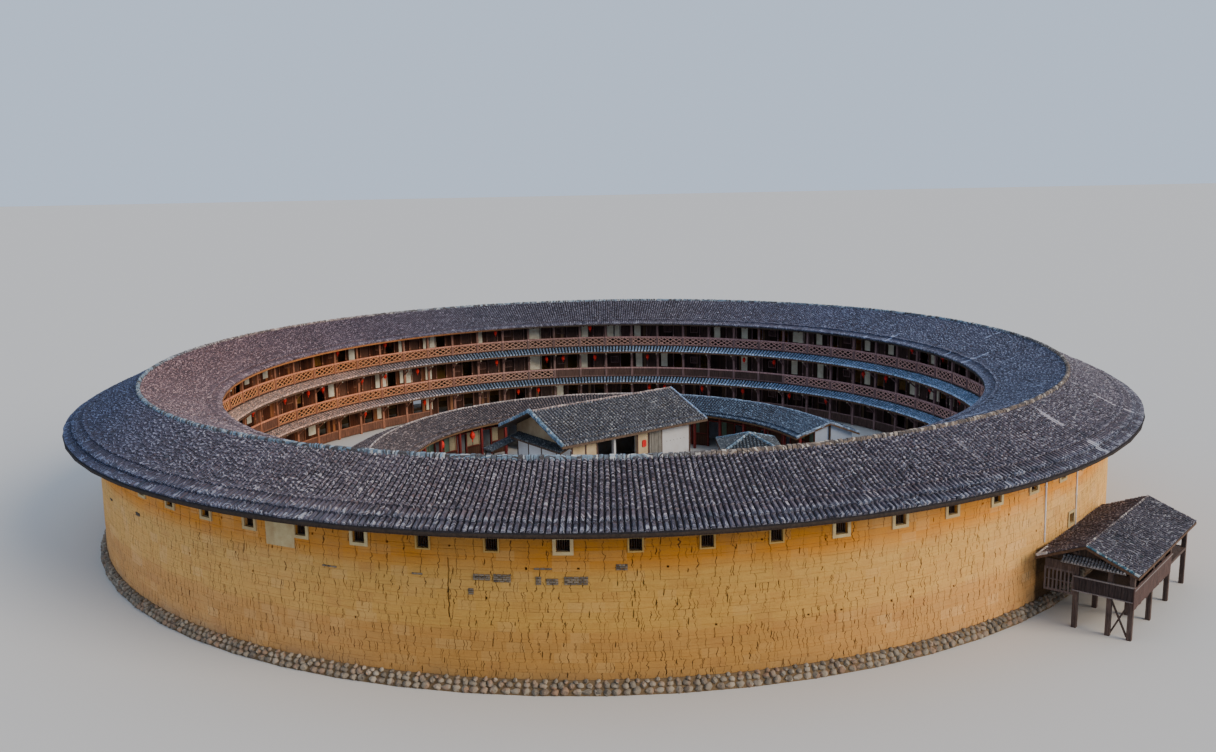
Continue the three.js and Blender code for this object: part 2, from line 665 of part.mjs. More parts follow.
// A lean-to of tiles shelters the hall's left gable wall
const skirtInner = -HALL_WALL_HALF_LENGTH - GAP;
const skirtShape = new THREE.Shape([
  [skirtInner - HALL_SKIRT_DEPTH, HALL_SKIRT_TOP - HALL_SKIRT_DROP - HALL_SKIRT_THICKNESS],
  [skirtInner, HALL_SKIRT_TOP - HALL_SKIRT_THICKNESS],
  [skirtInner, HALL_SKIRT_TOP],
  [skirtInner - HALL_SKIRT_DEPTH, HALL_SKIRT_TOP - HALL_SKIRT_DROP],
].map(([x, z]) => new THREE.Vector2(x, z)));
const skirtLength = HALL_SKIRT_RANGE[1] - HALL_SKIRT_RANGE[0];
const skirt = new THREE.ExtrudeGeometry(skirtShape, { depth: skirtLength, bevelEnabled: false });
addPiece('hall_gable_skirt', skirt.rotateX(Math.PI / 2).translate(0, HALL_SKIRT_RANGE[1], 0),
  COLOURS.tile, hall);

// Open shed: a four-sided tiled roof on four posts

function pyramid(halfWidth, base, apex) {
  const positions = [
    -halfWidth, -halfWidth, base, halfWidth, -halfWidth, base,
    halfWidth, halfWidth, base, -halfWidth, halfWidth, base, 0, 0, apex,
  ];
  const geometry = new THREE.BufferGeometry();
  geometry.setAttribute('position', new THREE.Float32BufferAttribute(positions, 3));
  geometry.setIndex([0, 1, 4, 1, 2, 4, 2, 3, 4, 3, 0, 4, 0, 3, 2, 0, 2, 1]);
  return faceOutwards(geometry);
}

const shedSlope = (SHED_APEX - SHED_EAVES) / SHED_HALF_WIDTH;
const shedHollow = pyramid(SHED_HALF_WIDTH, SHED_EAVES - SHED_ROOF_THICKNESS,
  SHED_APEX - SHED_ROOF_THICKNESS);
const shedRoof = cut(join([
  pyramid(SHED_HALF_WIDTH, SHED_EAVES, SHED_APEX),
  box([-SHED_HALF_WIDTH, -SHED_HALF_WIDTH, SHED_EAVES - SHED_ROOF_THICKNESS],
    [SHED_HALF_WIDTH, SHED_HALF_WIDTH, SHED_EAVES]),
]), [shedHollow]);
const shedPostTop = SHED_EAVES + (SHED_HALF_WIDTH - SHED_POST_OFFSET) * shedSlope - SHED_ROOF_THICKNESS / 2;
const shedPosts = [[-1, -1], [1, -1], [1, 1], [-1, 1]].map(([x, y]) => box(
  [x * SHED_POST_OFFSET - SHED_POST_SIZE / 2, y * SHED_POST_OFFSET - SHED_POST_SIZE / 2, 0],
  [x * SHED_POST_OFFSET + SHED_POST_SIZE / 2, y * SHED_POST_OFFSET + SHED_POST_SIZE / 2, shedPostTop]));
const shed = addPiece('court_shed', join([shedRoof, ...shedPosts]), COLOURS.tile);
shed.position.set(...SHED_CENTRE, 0);

// Timber porch on stilts: x runs along the wall and +y points at it

const porch = new THREE.Group();
const porchAzimuth = THREE.MathUtils.degToRad(PORCH_AZIMUTH_DEG);
porch.position.set(PORCH_RADIUS * Math.cos(porchAzimuth), PORCH_RADIUS * Math.sin(porchAzimuth), 0);
porch.rotation.z = THREE.MathUtils.degToRad(PORCH_TURN_DEG);
group.add(porch);

function porchUnderside(y) {
  const eave = y < 0 ? PORCH_OUTER_EAVE : PORCH_WALL_EAVE;
  return PORCH_RIDGE_TOP - y / eave * (PORCH_RIDGE_TOP - PORCH_EAVES_TOP) - PORCH_ROOF_THICKNESS;
}

const porchRoofOutline = [
  [PORCH_OUTER_EAVE, porchUnderside(PORCH_OUTER_EAVE)],
  [0, porchUnderside(0)],
  [PORCH_WALL_EAVE, porchUnderside(PORCH_WALL_EAVE)],
  [PORCH_WALL_EAVE, PORCH_EAVES_TOP],
  [0, PORCH_RIDGE_TOP],
  [PORCH_OUTER_EAVE, PORCH_EAVES_TOP],
];
addPiece('porch_roof', alongX(porchRoofOutline, -PORCH_ROOF_HALF_LENGTH, PORCH_ROOF_HALF_LENGTH),
  COLOURS.tile, porch);

const halfPost = PORCH_POST_SIZE / 2;
const porchPosts = PORCH_POST_X.flatMap((x) => PORCH_POST_Y.map((y) => box(
  [x - halfPost, y - halfPost, 0],
  [x + halfPost, y + halfPost, Math.min(porchUnderside(y - halfPost), porchUnderside(y + halfPost)) - GAP])));
const [firstX, lastX] = [PORCH_POST_X[0], PORCH_POST_X[PORCH_POST_X.length - 1]];
const [outerY, wallY] = [PORCH_POST_Y[0], PORCH_POST_Y[PORCH_POST_Y.length - 1]];
const porchFloor = box([firstX - halfPost, outerY - halfPost, PORCH_FLOOR_TOP - PORCH_FLOOR_THICKNESS],
  [lastX + halfPost, wallY + halfPost, PORCH_FLOOR_TOP]);
addPiece('porch_frame', join([porchFloor, ...porchPosts]), COLOURS.timber, porch);

// Plank sides: the outside is boarded over its first bays only, and the front end all across
const halfPlank = PORCH_PLANK_THICKNESS / 2;
const porchSkin = outerY - halfPost - GAP;
const sideEnd = PORCH_POST_X[PORCH_SIDE_BAYS] + halfPost;
const sidePlanks = box([firstX - halfPost - PORCH_PLANK_THICKNESS - GAP, porchSkin - PORCH_PLANK_THICKNESS,
  PORCH_SIDE_BOTTOM], [sideEnd, porchSkin, PORCH_PARAPET_TOP]);
const endPlanks = box([firstX - halfPost - PORCH_PLANK_THICKNESS - GAP, porchSkin - halfPlank,
  PORCH_FLOOR_TOP - PORCH_FLOOR_THICKNESS], [firstX - halfPost - GAP, wallY + halfPost, PORCH_PARAPET_TOP]);
addPiece('porch_planking', join([sidePlanks, endPlanks]), COLOURS.timber, porch);

// Barred screen that closes the end of the passage between the room and the earth wall
const screenX = [firstX - halfPost, firstX - halfPost + PORCH_SCREEN.bar];
const screenRails = [PORCH_SCREEN.low, PORCH_SCREEN.high - PORCH_SCREEN.rail].map((z) => box(
  [screenX[0], PORCH_SCREEN.near, z], [screenX[1], PORCH_SCREEN.far, z + PORCH_SCREEN.rail]));
const barPitch = (PORCH_SCREEN.far - PORCH_SCREEN.near - PORCH_SCREEN.bar) / (PORCH_SCREEN.bars - 1);
const screenBars = Array.from({ length: PORCH_SCREEN.bars }, (_, index) => box(
  [screenX[0], PORCH_SCREEN.near + index * barPitch, PORCH_SCREEN.low],
  [screenX[1], PORCH_SCREEN.near + index * barPitch + PORCH_SCREEN.bar, PORCH_SCREEN.high]));
addPiece('porch_screen', join([...screenRails, ...screenBars]), COLOURS.timber, porch);

// Rainwater pipes that lean with the wall's batter
for (const { name, azimuth, low, high } of PIPES) {
  const angle = THREE.MathUtils.degToRad(azimuth);
  const foot = wallFace(angle, low) + PIPE_RADIUS + 2 * GAP;
  const head = wallFace(angle, high) + PIPE_RADIUS + 2 * GAP;
  const path = new THREE.LineCurve3(
    new THREE.Vector3(foot * Math.cos(angle), foot * Math.sin(angle), low),
    new THREE.Vector3(head * Math.cos(angle), head * Math.sin(angle), high));
  const section = new THREE.Shape().absarc(0, 0, PIPE_RADIUS, 0, 2 * Math.PI);
  addPiece(name, new THREE.ExtrudeGeometry(section, { extrudePath: path, steps: 1, curveSegments: 12 }),
    COLOURS.pipe, group, 0.5);
}

export default group;
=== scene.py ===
"""Looks of a round earth house with a tiled ring roof, its court buildings and side porch, at half size.

Lengths are metres of the model. Angles round the house are in degrees, anticlockwise from the +X axis.
"""

import math
import random
from contextlib import contextmanager

import bmesh
import bpy
from mathutils import Euler, Matrix, Vector


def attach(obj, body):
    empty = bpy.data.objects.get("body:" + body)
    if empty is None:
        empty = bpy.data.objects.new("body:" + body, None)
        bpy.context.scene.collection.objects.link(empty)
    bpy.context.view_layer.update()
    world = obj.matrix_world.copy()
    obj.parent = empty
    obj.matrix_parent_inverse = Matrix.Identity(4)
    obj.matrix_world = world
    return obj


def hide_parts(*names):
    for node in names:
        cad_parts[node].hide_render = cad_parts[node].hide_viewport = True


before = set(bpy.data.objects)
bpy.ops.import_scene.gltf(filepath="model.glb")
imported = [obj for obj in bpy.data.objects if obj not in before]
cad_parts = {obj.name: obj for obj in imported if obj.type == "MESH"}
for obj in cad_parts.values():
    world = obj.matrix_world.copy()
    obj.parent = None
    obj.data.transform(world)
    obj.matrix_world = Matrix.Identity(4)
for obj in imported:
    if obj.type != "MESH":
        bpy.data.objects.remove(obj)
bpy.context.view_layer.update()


# Camera
# It hangs in the air in front of the house, a little over twice the ridge's height up, and looks slightly
# down. Its lens and its turns lay the house's outlines over those in the photograph.
CAMERA_PLACE = (0.0, -34.589, 9.84)
CAMERA_LENS_MM = 32.07
SENSOR_WIDTH_MM = 36.0
CAMERA_DIP = 0.1811
CAMERA_YAW = 0.004
CAMERA_ROLL = -0.0193
FARTHEST_SEEN = 900.0

bpy.ops.object.camera_add(location=CAMERA_PLACE)
camera = bpy.context.object
camera.name = "camera"
camera.data.lens = CAMERA_LENS_MM
camera.data.sensor_width = SENSOR_WIDTH_MM
camera.data.clip_end = FARTHEST_SEEN
level_look = Euler((math.pi / 2 - CAMERA_DIP, 0, -CAMERA_YAW)).to_matrix()
camera.rotation_euler = (level_look @ Matrix.Rotation(CAMERA_ROLL, 3, "Z")).to_euler()
bpy.context.scene.camera = camera


# Soft studio light
# A pale blue sky lights the house from all round, and one warm lamp stands low to the right of the camera.
# The lamp is wide, so its shadows have soft edges.
SKY_COLOUR = (0.66, 0.79, 1.0, 1.0)
SKY_STRENGTH = 0.9
LAMP_COLOUR = (1.0, 0.84, 0.64)
LAMP_STRENGTH = 3.4
LAMP_SPREAD_DEG = 34.0
LAMP_AZIMUTH_DEG = -34.0
LAMP_HEIGHT_DEG = 28.0
LAMP_PLACE = (0, 0, 30)

world = bpy.data.worlds.new("studio")
bpy.context.scene.world = world
world.use_nodes = True
sky = world.node_tree.nodes["Background"].inputs
sky["Color"].default_value = SKY_COLOUR
sky["Strength"].default_value = SKY_STRENGTH

bpy.ops.object.light_add(type="SUN", location=LAMP_PLACE)
lamp = bpy.context.object
lamp.name = "lamp"
lamp.data.energy = LAMP_STRENGTH
lamp.data.color = LAMP_COLOUR
lamp.data.angle = math.radians(LAMP_SPREAD_DEG)
lamp.rotation_euler = (
    math.radians(90 - LAMP_HEIGHT_DEG), 0, math.radians(LAMP_AZIMUTH_DEG + 90))


# Studio floor
# A plain pale floor lies level with the house's foot and fills the view. It's only staged, and isn't part of
# the house. Its material is the first to use the node helpers.
FLOOR_SIZE = 1200.0
FLOOR_COLOUR = (0.58, 0.57, 0.55)


class Signal:
    """A socket of a finish's node tree. Arithmetic on it adds Math nodes."""

    def __init__(self, finish, socket):
        self.finish = finish
        self.socket = socket

    def maths(self, operation, *values):
        return self.finish.add("ShaderNodeMath", {"operation": operation}, values)

    def __add__(self, other):
        return self.maths("ADD", self, other)

    def __radd__(self, other):
        return self.maths("ADD", other, self)

    def __sub__(self, other):
        return self.maths("SUBTRACT", self, other)

    def __rsub__(self, other):
        return self.maths("SUBTRACT", other, self)

    def __mul__(self, other):
        return self.maths("MULTIPLY", self, other)

    def __rmul__(self, other):
        return self.maths("MULTIPLY", other, self)

    def __truediv__(self, other):
        return self.maths("DIVIDE", self, other)

    def above(self, limit):
        return self.maths("GREATER_THAN", self, limit)

    def below(self, limit):
        return self.maths("LESS_THAN", self, limit)

    def floor(self):
        return self.maths("FLOOR", self)

    def absolute(self):
        return self.maths("ABSOLUTE", self)

    def times(self, other):
        """Two colours multiplied."""
        return self.finish.mix(1.0, self, other, "MULTIPLY")

    def ramp(self, low, high):
        """Rises from 0 at low to 1 at high, and stays there."""
        values = {"Value": self, "From Min": low, "From Max": high}
        return self.finish.add("ShaderNodeMapRange", {"clamp": True}, values)


class Finish:
    """A procedural material. Its add method makes every node."""

    def __init__(self, name, roughness, specular=0.3):
        self.material = bpy.data.materials.new(name)
        self.material.use_nodes = True
        self.tree = self.material.node_tree
        self.shader = self.tree.nodes["Principled BSDF"]
        self.shader.inputs["Roughness"].default_value = roughness
        self.shader.inputs["Specular IOR Level"].default_value = specular
        self.place = self.add("ShaderNodeTexCoord", output="Object")

    def add(self, kind, settings=None, values=(), output=0):
        node = self.tree.nodes.new(kind)
        for key, value in (settings or {}).items():
            setattr(node, key, value)
        pairs = values.items() if isinstance(values, dict) else enumerate(values)
        for key, value in pairs:
            self.feed(node.inputs[key], value)
        return Signal(self, node.outputs[output])

    def feed(self, socket, value):
        if isinstance(value, Signal):
            self.tree.links.new(value.socket, socket)
        else:
            socket.default_value = value

    def axes(self, place=None):
        """The x, y and z of a place, each as a signal."""
        return [self.add("ShaderNodeSeparateXYZ", {}, [place or self.place], axis) for axis in range(3)]

    def turned(self, centre, turn_deg):
        """The piece's own place, measured from a centre along axes that are turned about it."""
        moved = self.add("ShaderNodeVectorMath", {"operation": "SUBTRACT"}, [self.place, (*centre, 0)])
        values = {"Vector": moved, "Rotation": (0, 0, -math.radians(turn_deg))}
        return self.add("ShaderNodeMapping", {}, values)

    def noise(self, scale, detail=3.0, stretch=None, roughness=0.55):
        place = self.place
        if stretch:
            place = self.add("ShaderNodeMapping", {}, {"Vector": place, "Scale": stretch})
        values = {"Vector": place, "Scale": scale, "Detail": detail, "Roughness": roughness}
        return self.add("ShaderNodeTexNoise", {}, values)

    def mark(self, name):
        """A number that each point of the piece carries."""
        return self.add("ShaderNodeAttribute", {"attribute_name": name}, {}, 2)

    def scatter(self, *numbers):
        """One random number from 0 to 1 for each whole set of numbers."""
        cell = self.add("ShaderNodeCombineXYZ", {}, numbers)
        return self.add("ShaderNodeTexWhiteNoise", {"noise_dimensions": "3D"}, {"Vector": cell})

    def mix(self, share, first, second, how="MIX"):
        settings = {"data_type": "RGBA", "blend_type": how}
        return self.add("ShaderNodeMix", settings, {0: share, 6: first, 7: second}, 2)

    def colour(self, value):
        self.feed(self.shader.inputs["Base Color"], value)

    def finished(self, tone, height, depth):
        """Sets the colour, and bump from a height signal whose full range stands for depth metres."""
        self.colour(tone)
        values = {"Strength": 1.0, "Distance": depth, "Height": height}
        self.feed(self.shader.inputs["Normal"], self.add("ShaderNodeBump", {}, values))
        return self


def rgb(red, green, blue):
    return (red, green, blue, 1.0)


floor_finish = Finish("studio_floor", 0.9)
floor_finish.colour(rgb(*FLOOR_COLOUR))
bpy.ops.mesh.primitive_plane_add(size=FLOOR_SIZE)
studio_floor = bpy.context.object
studio_floor.name = "studio_floor"
studio_floor.data.materials.append(floor_finish.material)


# Stone plinth
# Rough rows of river cobbles are laid dry along the wall's foot and packed with earth. The CAD plinth stays
# as the packing behind them. One bay's stones are shaped apart, and then repeated round the ring.
BAYS = 68
BAY_DEG = 360 / BAYS
FIRST_POST_DEG = -0.57
FIRST_BAY_DEG = FIRST_POST_DEG + BAY_DEG / 2
PLINTH_TOP = 0.27
PLINTH_FOOT_RADIUS = 15.15
PLINTH_TOP_RADIUS = 15.04
DOORWAY_BAY = 23
STONE_ROWS = [(7, 0.075, 0.15), (8, 0.175, 0.12), (7, 0.25, 0.08)]  # stones in a bay, height, size
STONE_DEPTH = 0.15
STONE_SUNK = 0.02
STONE_ROUGHNESS = 0.16
STONE_SEED = 4


def focus(*parts):
    """Selects these parts alone, with the first one active."""
    bpy.ops.object.select_all(action="DESELECT")
    for part in parts:
        part.select_set(True)
    bpy.context.view_layer.objects.active = parts[0]


@contextmanager
def editing(part):
    focus(part)
    bpy.ops.object.mode_set(mode="EDIT")
    bpy.ops.mesh.select_all(action="SELECT")
    yield
    bpy.ops.object.mode_set(mode="OBJECT")


def slice_at(point, normal, **settings):
    """In edit mode, cuts the whole part along a plane."""
    bpy.ops.mesh.select_all(action="SELECT")
    bpy.ops.mesh.bisect(plane_co=point, plane_no=normal, **settings)


def cut_foot(height):
    """In edit mode, cuts off all of the part below a height and closes it."""
    slice_at((0, 0, height), (0, 0, 1), clear_inner=True, use_fill=True)


def named(name):
    bpy.context.object.name = name
    return bpy.context.object


def settle(part):
    """Puts a part's place, turn and scale into its mesh."""
    focus(part)
    bpy.ops.object.transform_apply(location=True, rotation=True, scale=True)
    return part


def modify(part, kind, **settings):
    """Adds a modifier and applies it."""
    focus(part)
    modifier = part.modifiers.new(kind.lower(), kind)
    for key, value in settings.items():
        setattr(modifier, key, value)
    bpy.ops.object.modifier_apply(modifier=modifier.name)
    return part


def moved(part, matrix):
    part.data.transform(matrix)
    return part


def joined(name, parts):
    focus(*parts)
    if len(parts) > 1:
        bpy.ops.object.join()
    return named(name)


def shift(x, y, z):
    return Matrix.Translation((x, y, z))


def turn(degrees, centre=(0, 0)):
    """A turn about the vertical through a centre."""
    there = shift(*centre, 0)
    return there @ Matrix.Rotation(math.radians(degrees), 4, "Z") @ there.inverted()


def clear_away(*parts):
    """Removes shapes that were only guides, cutters or patterns."""
    for part in parts:
        bpy.data.objects.remove(part)


def around(part, count, step_deg, centre=(0, 0)):
    """Repeats a part round a centre with an array whose step is a turned empty."""
    bpy.ops.object.empty_add()
    step = bpy.context.object
    step.matrix_world = turn(step_deg, centre)
    bpy.context.view_layer.update()
    modify(part, "ARRAY", count=count, use_relative_offset=False, use_object_offset=True,
           offset_object=step)
    clear_away(step)
    return part


def show(name, parts, finishes, nodes=(), smooth_deg=None):
    """Joins finished parts into one piece of the house, and gives its material and the nodes it replaces."""
    piece = joined(name, parts)
    piece.data.materials.clear()
    for finish in finishes:
        piece.data.materials.append(finish.material)
    if smooth_deg:
        bpy.ops.object.shade_smooth_by_angle(angle=math.radians(smooth_deg))
    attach(piece, "root")
    if nodes:
        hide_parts(*nodes)
    return piece


def cover(finish, *nodes):
    """Gives CAD nodes a finish."""
    for node in nodes:
        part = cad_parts[node]
        part.data.materials.clear()
        part.data.materials.append(finish.material)


def cobble_finish():
    finish = Finish("river_cobble", 0.85)
    cells = finish.add("ShaderNodeTexVoronoi", {}, {"Vector": finish.place, "Scale": 6.5}, 1)
    red, green, blue = finish.axes(cells)
    stone = finish.mix(red, rgb(0.085, 0.075, 0.065), rgb(0.26, 0.22, 0.17))
    stone = finish.mix(green.ramp(0.55, 1.0) * 0.7, stone, rgb(0.27, 0.15, 0.09))
    stone = finish.mix(blue.ramp(0.8, 1.0) * 0.6, stone, rgb(0.42, 0.37, 0.30))
    grain = finish.noise(38.0, 4.0)
    stone = finish.mix(grain.ramp(0.4, 0.75) * 0.4, stone, rgb(0.36, 0.29, 0.20))
    return finish.finished(stone, grain, 0.006)


def packing_finish():
    finish = Finish("plinth_packing", 0.95)
    grain = finish.noise(24.0, 5.0)
    return finish.finished(finish.mix(grain, rgb(0.07, 0.045, 0.025), rgb(0.20, 0.135, 0.07)), grain, 0.02)


cobble = cobble_finish()
packing = packing_finish()
cover(packing, "stone_plinth_1", "stone_plinth_2", "stone_plinth_3", "stone_plinth_4")
cover(cobble, "doorway_sill")

draw = random.Random(STONE_SEED)
stones = []
for row, (count, height, size) in enumerate(STONE_ROWS):
    face = PLINTH_FOOT_RADIUS + height / PLINTH_TOP * (PLINTH_TOP_RADIUS - PLINTH_FOOT_RADIUS)
    for number in range(count):
        bpy.ops.mesh.primitive_ico_sphere_add(subdivisions=2, radius=0.5)
        stone = named(f"stone_{row}_{number}")
        with editing(stone):
            bpy.ops.transform.vertex_random(offset=STONE_ROUGHNESS, seed=draw.randrange(9999))
            slice_at((-0.1, 0, 0), (1, 0, 0), clear_inner=True, use_fill=True)
        width = size * draw.uniform(0.95, 1.5)
        stone.scale = (STONE_DEPTH * draw.uniform(0.8, 1.25), width, size * draw.uniform(0.8, 1.15))
        stone.rotation_euler = (draw.uniform(-0.35, 0.35), 0, 0)
        stone.location = (face - STONE_SUNK, 0, height + draw.uniform(-0.015, 0.015))
        settle(stone)
        offset = (number + 0.5 + draw.uniform(-0.15, 0.15)) / count - 0.5
        stones.append(moved(stone, turn(FIRST_BAY_DEG + (DOORWAY_BAY + 1 + offset) * BAY_DEG)))
stone_run = joined("stone_run", stones)
with editing(stone_run):
    cut_foot(0.001)
around(stone_run, BAYS - 1, BAY_DEG)
show("plinth_stones", [stone_run], [cobble], smooth_deg=50)


# Rammed earth wall
# Earth is rammed between boards in lifts of about 0.2 m, so level lines and short upright cracks cover it.
# A quarter's section is spun, roughened, and cut by windows, cracks, putlog holes and the doorway.
WALL_FOOT_RADIUS = 15.0
WALL_TOP_RADIUS = 14.93
WALL_INNER_RADIUS = 14.28
WALL_OUTER_TOP = 3.8032
WALL_INNER_TOP = 4.0962
LIFT_HEIGHT = 0.205
LIFT_GROOVE = 0.008
QUARTER_BAYS = BAYS // 4
WALL_STEPS = QUARTER_BAYS * 6
WALL_UNEVENNESS = 0.035
WINDOW_SIZE = 0.26
WINDOW_HEIGHT = 2.985
LOW_WINDOW_DEG = -43.4
LOW_WINDOW_HEIGHT = 1.79
DOORWAY_DEG = FIRST_BAY_DEG + DOORWAY_BAY * BAY_DEG
DOORWAY_WIDTH = 0.85
DOORWAY_TOP = 1.15
DOORWAY_HOLE_REACH = 0.6
WIDE_CRACK_SPACING = 0.36
CLOSE_CRACK_SPACING = 0.17
CRACK_SHAPES = 6
CRACKS_IN_BAY = 14
CRACK_DEPTH = 0.05
CRACK_LENGTHS = (0.09, 0.19)
CRACKS_CLEAR_OF_WINDOW = (1.1, 0.35)  # degrees to the side, metres up or down
PUTLOG_HOLES_IN_QUARTER = 26
PUTLOG_LIFTS = (4, 7, 10, 12)
PUTLOG_HOLE = ((-0.09, -0.024, -0.03), (0.09, 0.024, 0.03))
LONG_CRACK_DEG = -101.9
LONG_CRACK_HEIGHTS = (1.27, 2.7)
LONG_CRACK_LEVELS = [number * 0.071 - 0.46 for number in range(14)]
LONG_CRACK_HALF_WIDTH = 0.018
LONG_CRACK_WANDER = 0.022
CRACK_SEED = 11


def middle(item):
    points = [item.co] if isinstance(item, bmesh.types.BMVert) else [vertex.co for vertex in item.verts]
    return sum(points, Vector()) / len(points)


def pick(kind, test):
    """In edit mode, selects just the verts, edges or faces whose middle passes a test."""
    bpy.ops.mesh.select_mode(type={"verts": "VERT", "edges": "EDGE", "faces": "FACE"}[kind])
    bpy.ops.mesh.select_all(action="DESELECT")
    shape = bmesh.from_edit_mesh(bpy.context.object.data)
    for item in getattr(shape, kind):
        item.select_set(bool(test(middle(item))))
    shape.select_flush_mode()
    bmesh.update_edit_mesh(bpy.context.object.data)


def copy_of(part, matrix):
    copy = part.copy()
    copy.data = part.data.copy()
    copy.data.transform(matrix)
    bpy.context.scene.collection.objects.link(copy)
    return copy


def block(name, low, high):
    """A box between two corners, with its place in its mesh."""
    low, high = Vector(low), Vector(high)
    bpy.ops.mesh.primitive_cube_add(size=1, location=(low + high) / 2, scale=high - low)
    return settle(named(name))


def wall_radius(height):
    """The earth wall's outer radius at a height."""
    share = (height - PLINTH_TOP) / (WALL_OUTER_TOP - PLINTH_TOP)
    return WALL_FOOT_RADIUS + share * (WALL_TOP_RADIUS - WALL_FOOT_RADIUS)


def clouds(name, scale, depth=2):
    texture = bpy.data.textures.new(name, "CLOUDS")
    texture.noise_scale = scale
    texture.noise_depth = depth
    texture.cloud_type = "COLOR"
    return texture


def unevenness(part, texture, strength):
    """Shifts a part's points by a cloud of noise that is fixed in the house, so pieces still meet."""
    return modify(part, "DISPLACE", texture=texture, strength=strength, mid_level=0.5,
                  texture_coords="LOCAL", direction="RGB_TO_XYZ")


def ring_angle(finish):
    """The azimuth as a share of a full turn, from -0.5 to 0.5."""
    x, y, _ = finish.axes()
    return y.maths("ARCTAN2", y, x) / (2 * math.pi)


def earth_finish():
    """Rammed earth in three tones from the eaves down, painted darker near x = 0 and brighter and bluer
    towards its left and right sides as painted light, and painted nearly black behind the porch as painted
    shade under its roof. Each lift has its own upright cracks, which wander a little, are closer together
    lower down, and are painted dark as painted shade where they gape."""
    finish = Finish("rammed_earth", 0.95, 0.12)
    x, _, z = finish.axes()
    height = z + finish.noise(0.9, 2.0) * 0.2 - 0.1
    tone = finish.mix(height.ramp(1.2, 1.34), rgb(0.43, 0.235, 0.068), rgb(0.50, 0.305, 0.08))
    tone = finish.mix(height.ramp(2.35, 2.65), tone, rgb(0.50, 0.20, 0.02))
    lift = (z / LIFT_HEIGHT).floor()
    layers = finish.noise(2.2, 4.0, (1, 1, 9))
    broad = finish.noise(0.55, 3.0)
    tone = finish.mix(layers.ramp(0.4, 0.75) * 0.5, tone, rgb(0.36, 0.175, 0.045))
    tone = finish.mix(broad.ramp(0.5, 0.72) * 0.3, tone, rgb(0.56, 0.35, 0.12))
    tone = finish.mix(finish.scatter(lift, 3.0, 1.0) * 0.25, tone, rgb(0.54, 0.27, 0.06))
    along = ring_angle(finish) * (2 * math.pi * WALL_FOOT_RADIUS)
    wander = finish.noise(4.0, 2.0, (1, 1, 2.2)) * 0.16
    cracks_seen = 0.0
    for spacing, seed, missing in ((WIDE_CRACK_SPACING, 0.0, 0.12),
                                   (CLOSE_CRACK_SPACING, 7.0, z.ramp(1.0, 2.9) * 0.5 + 0.35)):
        across = (along + wander) / spacing + finish.scatter(lift, seed, 0.0)
        cell = across.floor()
        beside = across - cell - 0.5
        width = finish.scatter(cell, lift, seed + 1.0) * 0.007 + finish.noise(9.0, 2.0) * 0.012 - 0.003
        gape = (beside.absolute() - 0.5 + width / spacing).ramp(0.0, 0.004 / spacing)
        present = finish.scatter(cell, lift, seed + 2.0).above(missing)
        cracks_seen = gape.maths("MAXIMUM", cracks_seen, gape * present)
    patch_cell = along / WIDE_CRACK_SPACING + finish.scatter(lift, 0.0, 0.0)
    patch = finish.scatter(patch_cell.floor(), lift, 5.0)
    tone = finish.mix(patch.ramp(0.75, 1.0) * 0.3, tone, rgb(0.58, 0.38, 0.15))
    tone = finish.mix((1.0 - patch.ramp(0.0, 0.16)) * 0.25, tone, rgb(0.36, 0.17, 0.06))
    line = z / LIFT_HEIGHT - lift - 0.5
    level = (line.absolute() - 0.46).ramp(0.0, 0.035) * finish.noise(2.0, 2.0).ramp(0.47, 0.62)
    streak = finish.noise(1.7, 4.0, (3, 3, 0.25)).ramp(0.56, 0.8) * z.ramp(1.6, 3.3)
    tone = finish.mix(streak * 0.4, tone, rgb(0.27, 0.14, 0.045))
    grain = finish.noise(30.0, 5.0, roughness=0.7)
    tone = finish.mix(grain.ramp(0.45, 0.75) * 0.35, tone, rgb(0.24, 0.12, 0.04))
    tone = finish.mix(level * 0.3, tone, rgb(0.20, 0.095, 0.03))
    # Painted shade: the cracks are painted near black where they gape.
    tone = finish.mix(cracks_seen * 0.85, tone, rgb(0.055, 0.025, 0.01))
    foot = (1.0 - z.ramp(0.25, 0.6)) * broad.ramp(0.35, 0.6)
    tone = finish.mix(foot * 0.5, tone, rgb(0.17, 0.12, 0.07))
    # Painted light: the wall is darker near x = 0 and brighter and bluer towards its left and right sides.
    front = 1.0 - x.absolute().ramp(3.0, 11.0)
    tone = finish.mix(front, rgb(1.5, 1.46, 1.85), rgb(0.86, 0.84, 0.82)).times(tone)
    azimuth = ring_angle(finish) * 360.0
    # Painted shade: the wall behind and under the porch's roof is painted nearly black.
    painted_porch_shade = azimuth.ramp(-50.3, -49.9) * (1.0 - azimuth.ramp(-36.0, -35.0)) * (1.0 - z.ramp(1.44, 1.5))
    return finish.finished(finish.mix(painted_porch_shade * 0.88, tone, rgb(0.03, 0.019, 0.012)),
                           grain * 0.5 + layers * 0.4 - cracks_seen * 0.6 - level * 0.3, 0.022)


def crack_finish():
    finish = Finish("crack_shade", 1.0, 0.0)
    depth = finish.noise(20.0)
    finish.colour(finish.mix(depth, rgb(0.03, 0.016, 0.007), rgb(0.09, 0.05, 0.02)))
    return finish


def spin_section(steps, sweep_deg):
    """In edit mode, spins a section round the ring's axis, closes the solid and turns its faces outwards."""
    bpy.ops.mesh.select_all(action="SELECT")
    bpy.ops.mesh.spin(steps=steps, angle=-math.radians(sweep_deg), center=(0, 0, 0), axis=(0, 0, 1))
    bpy.ops.mesh.select_all(action="SELECT")
    bpy.ops.mesh.remove_doubles(threshold=0.0005)
    bpy.ops.mesh.normals_make_consistent(inside=False)


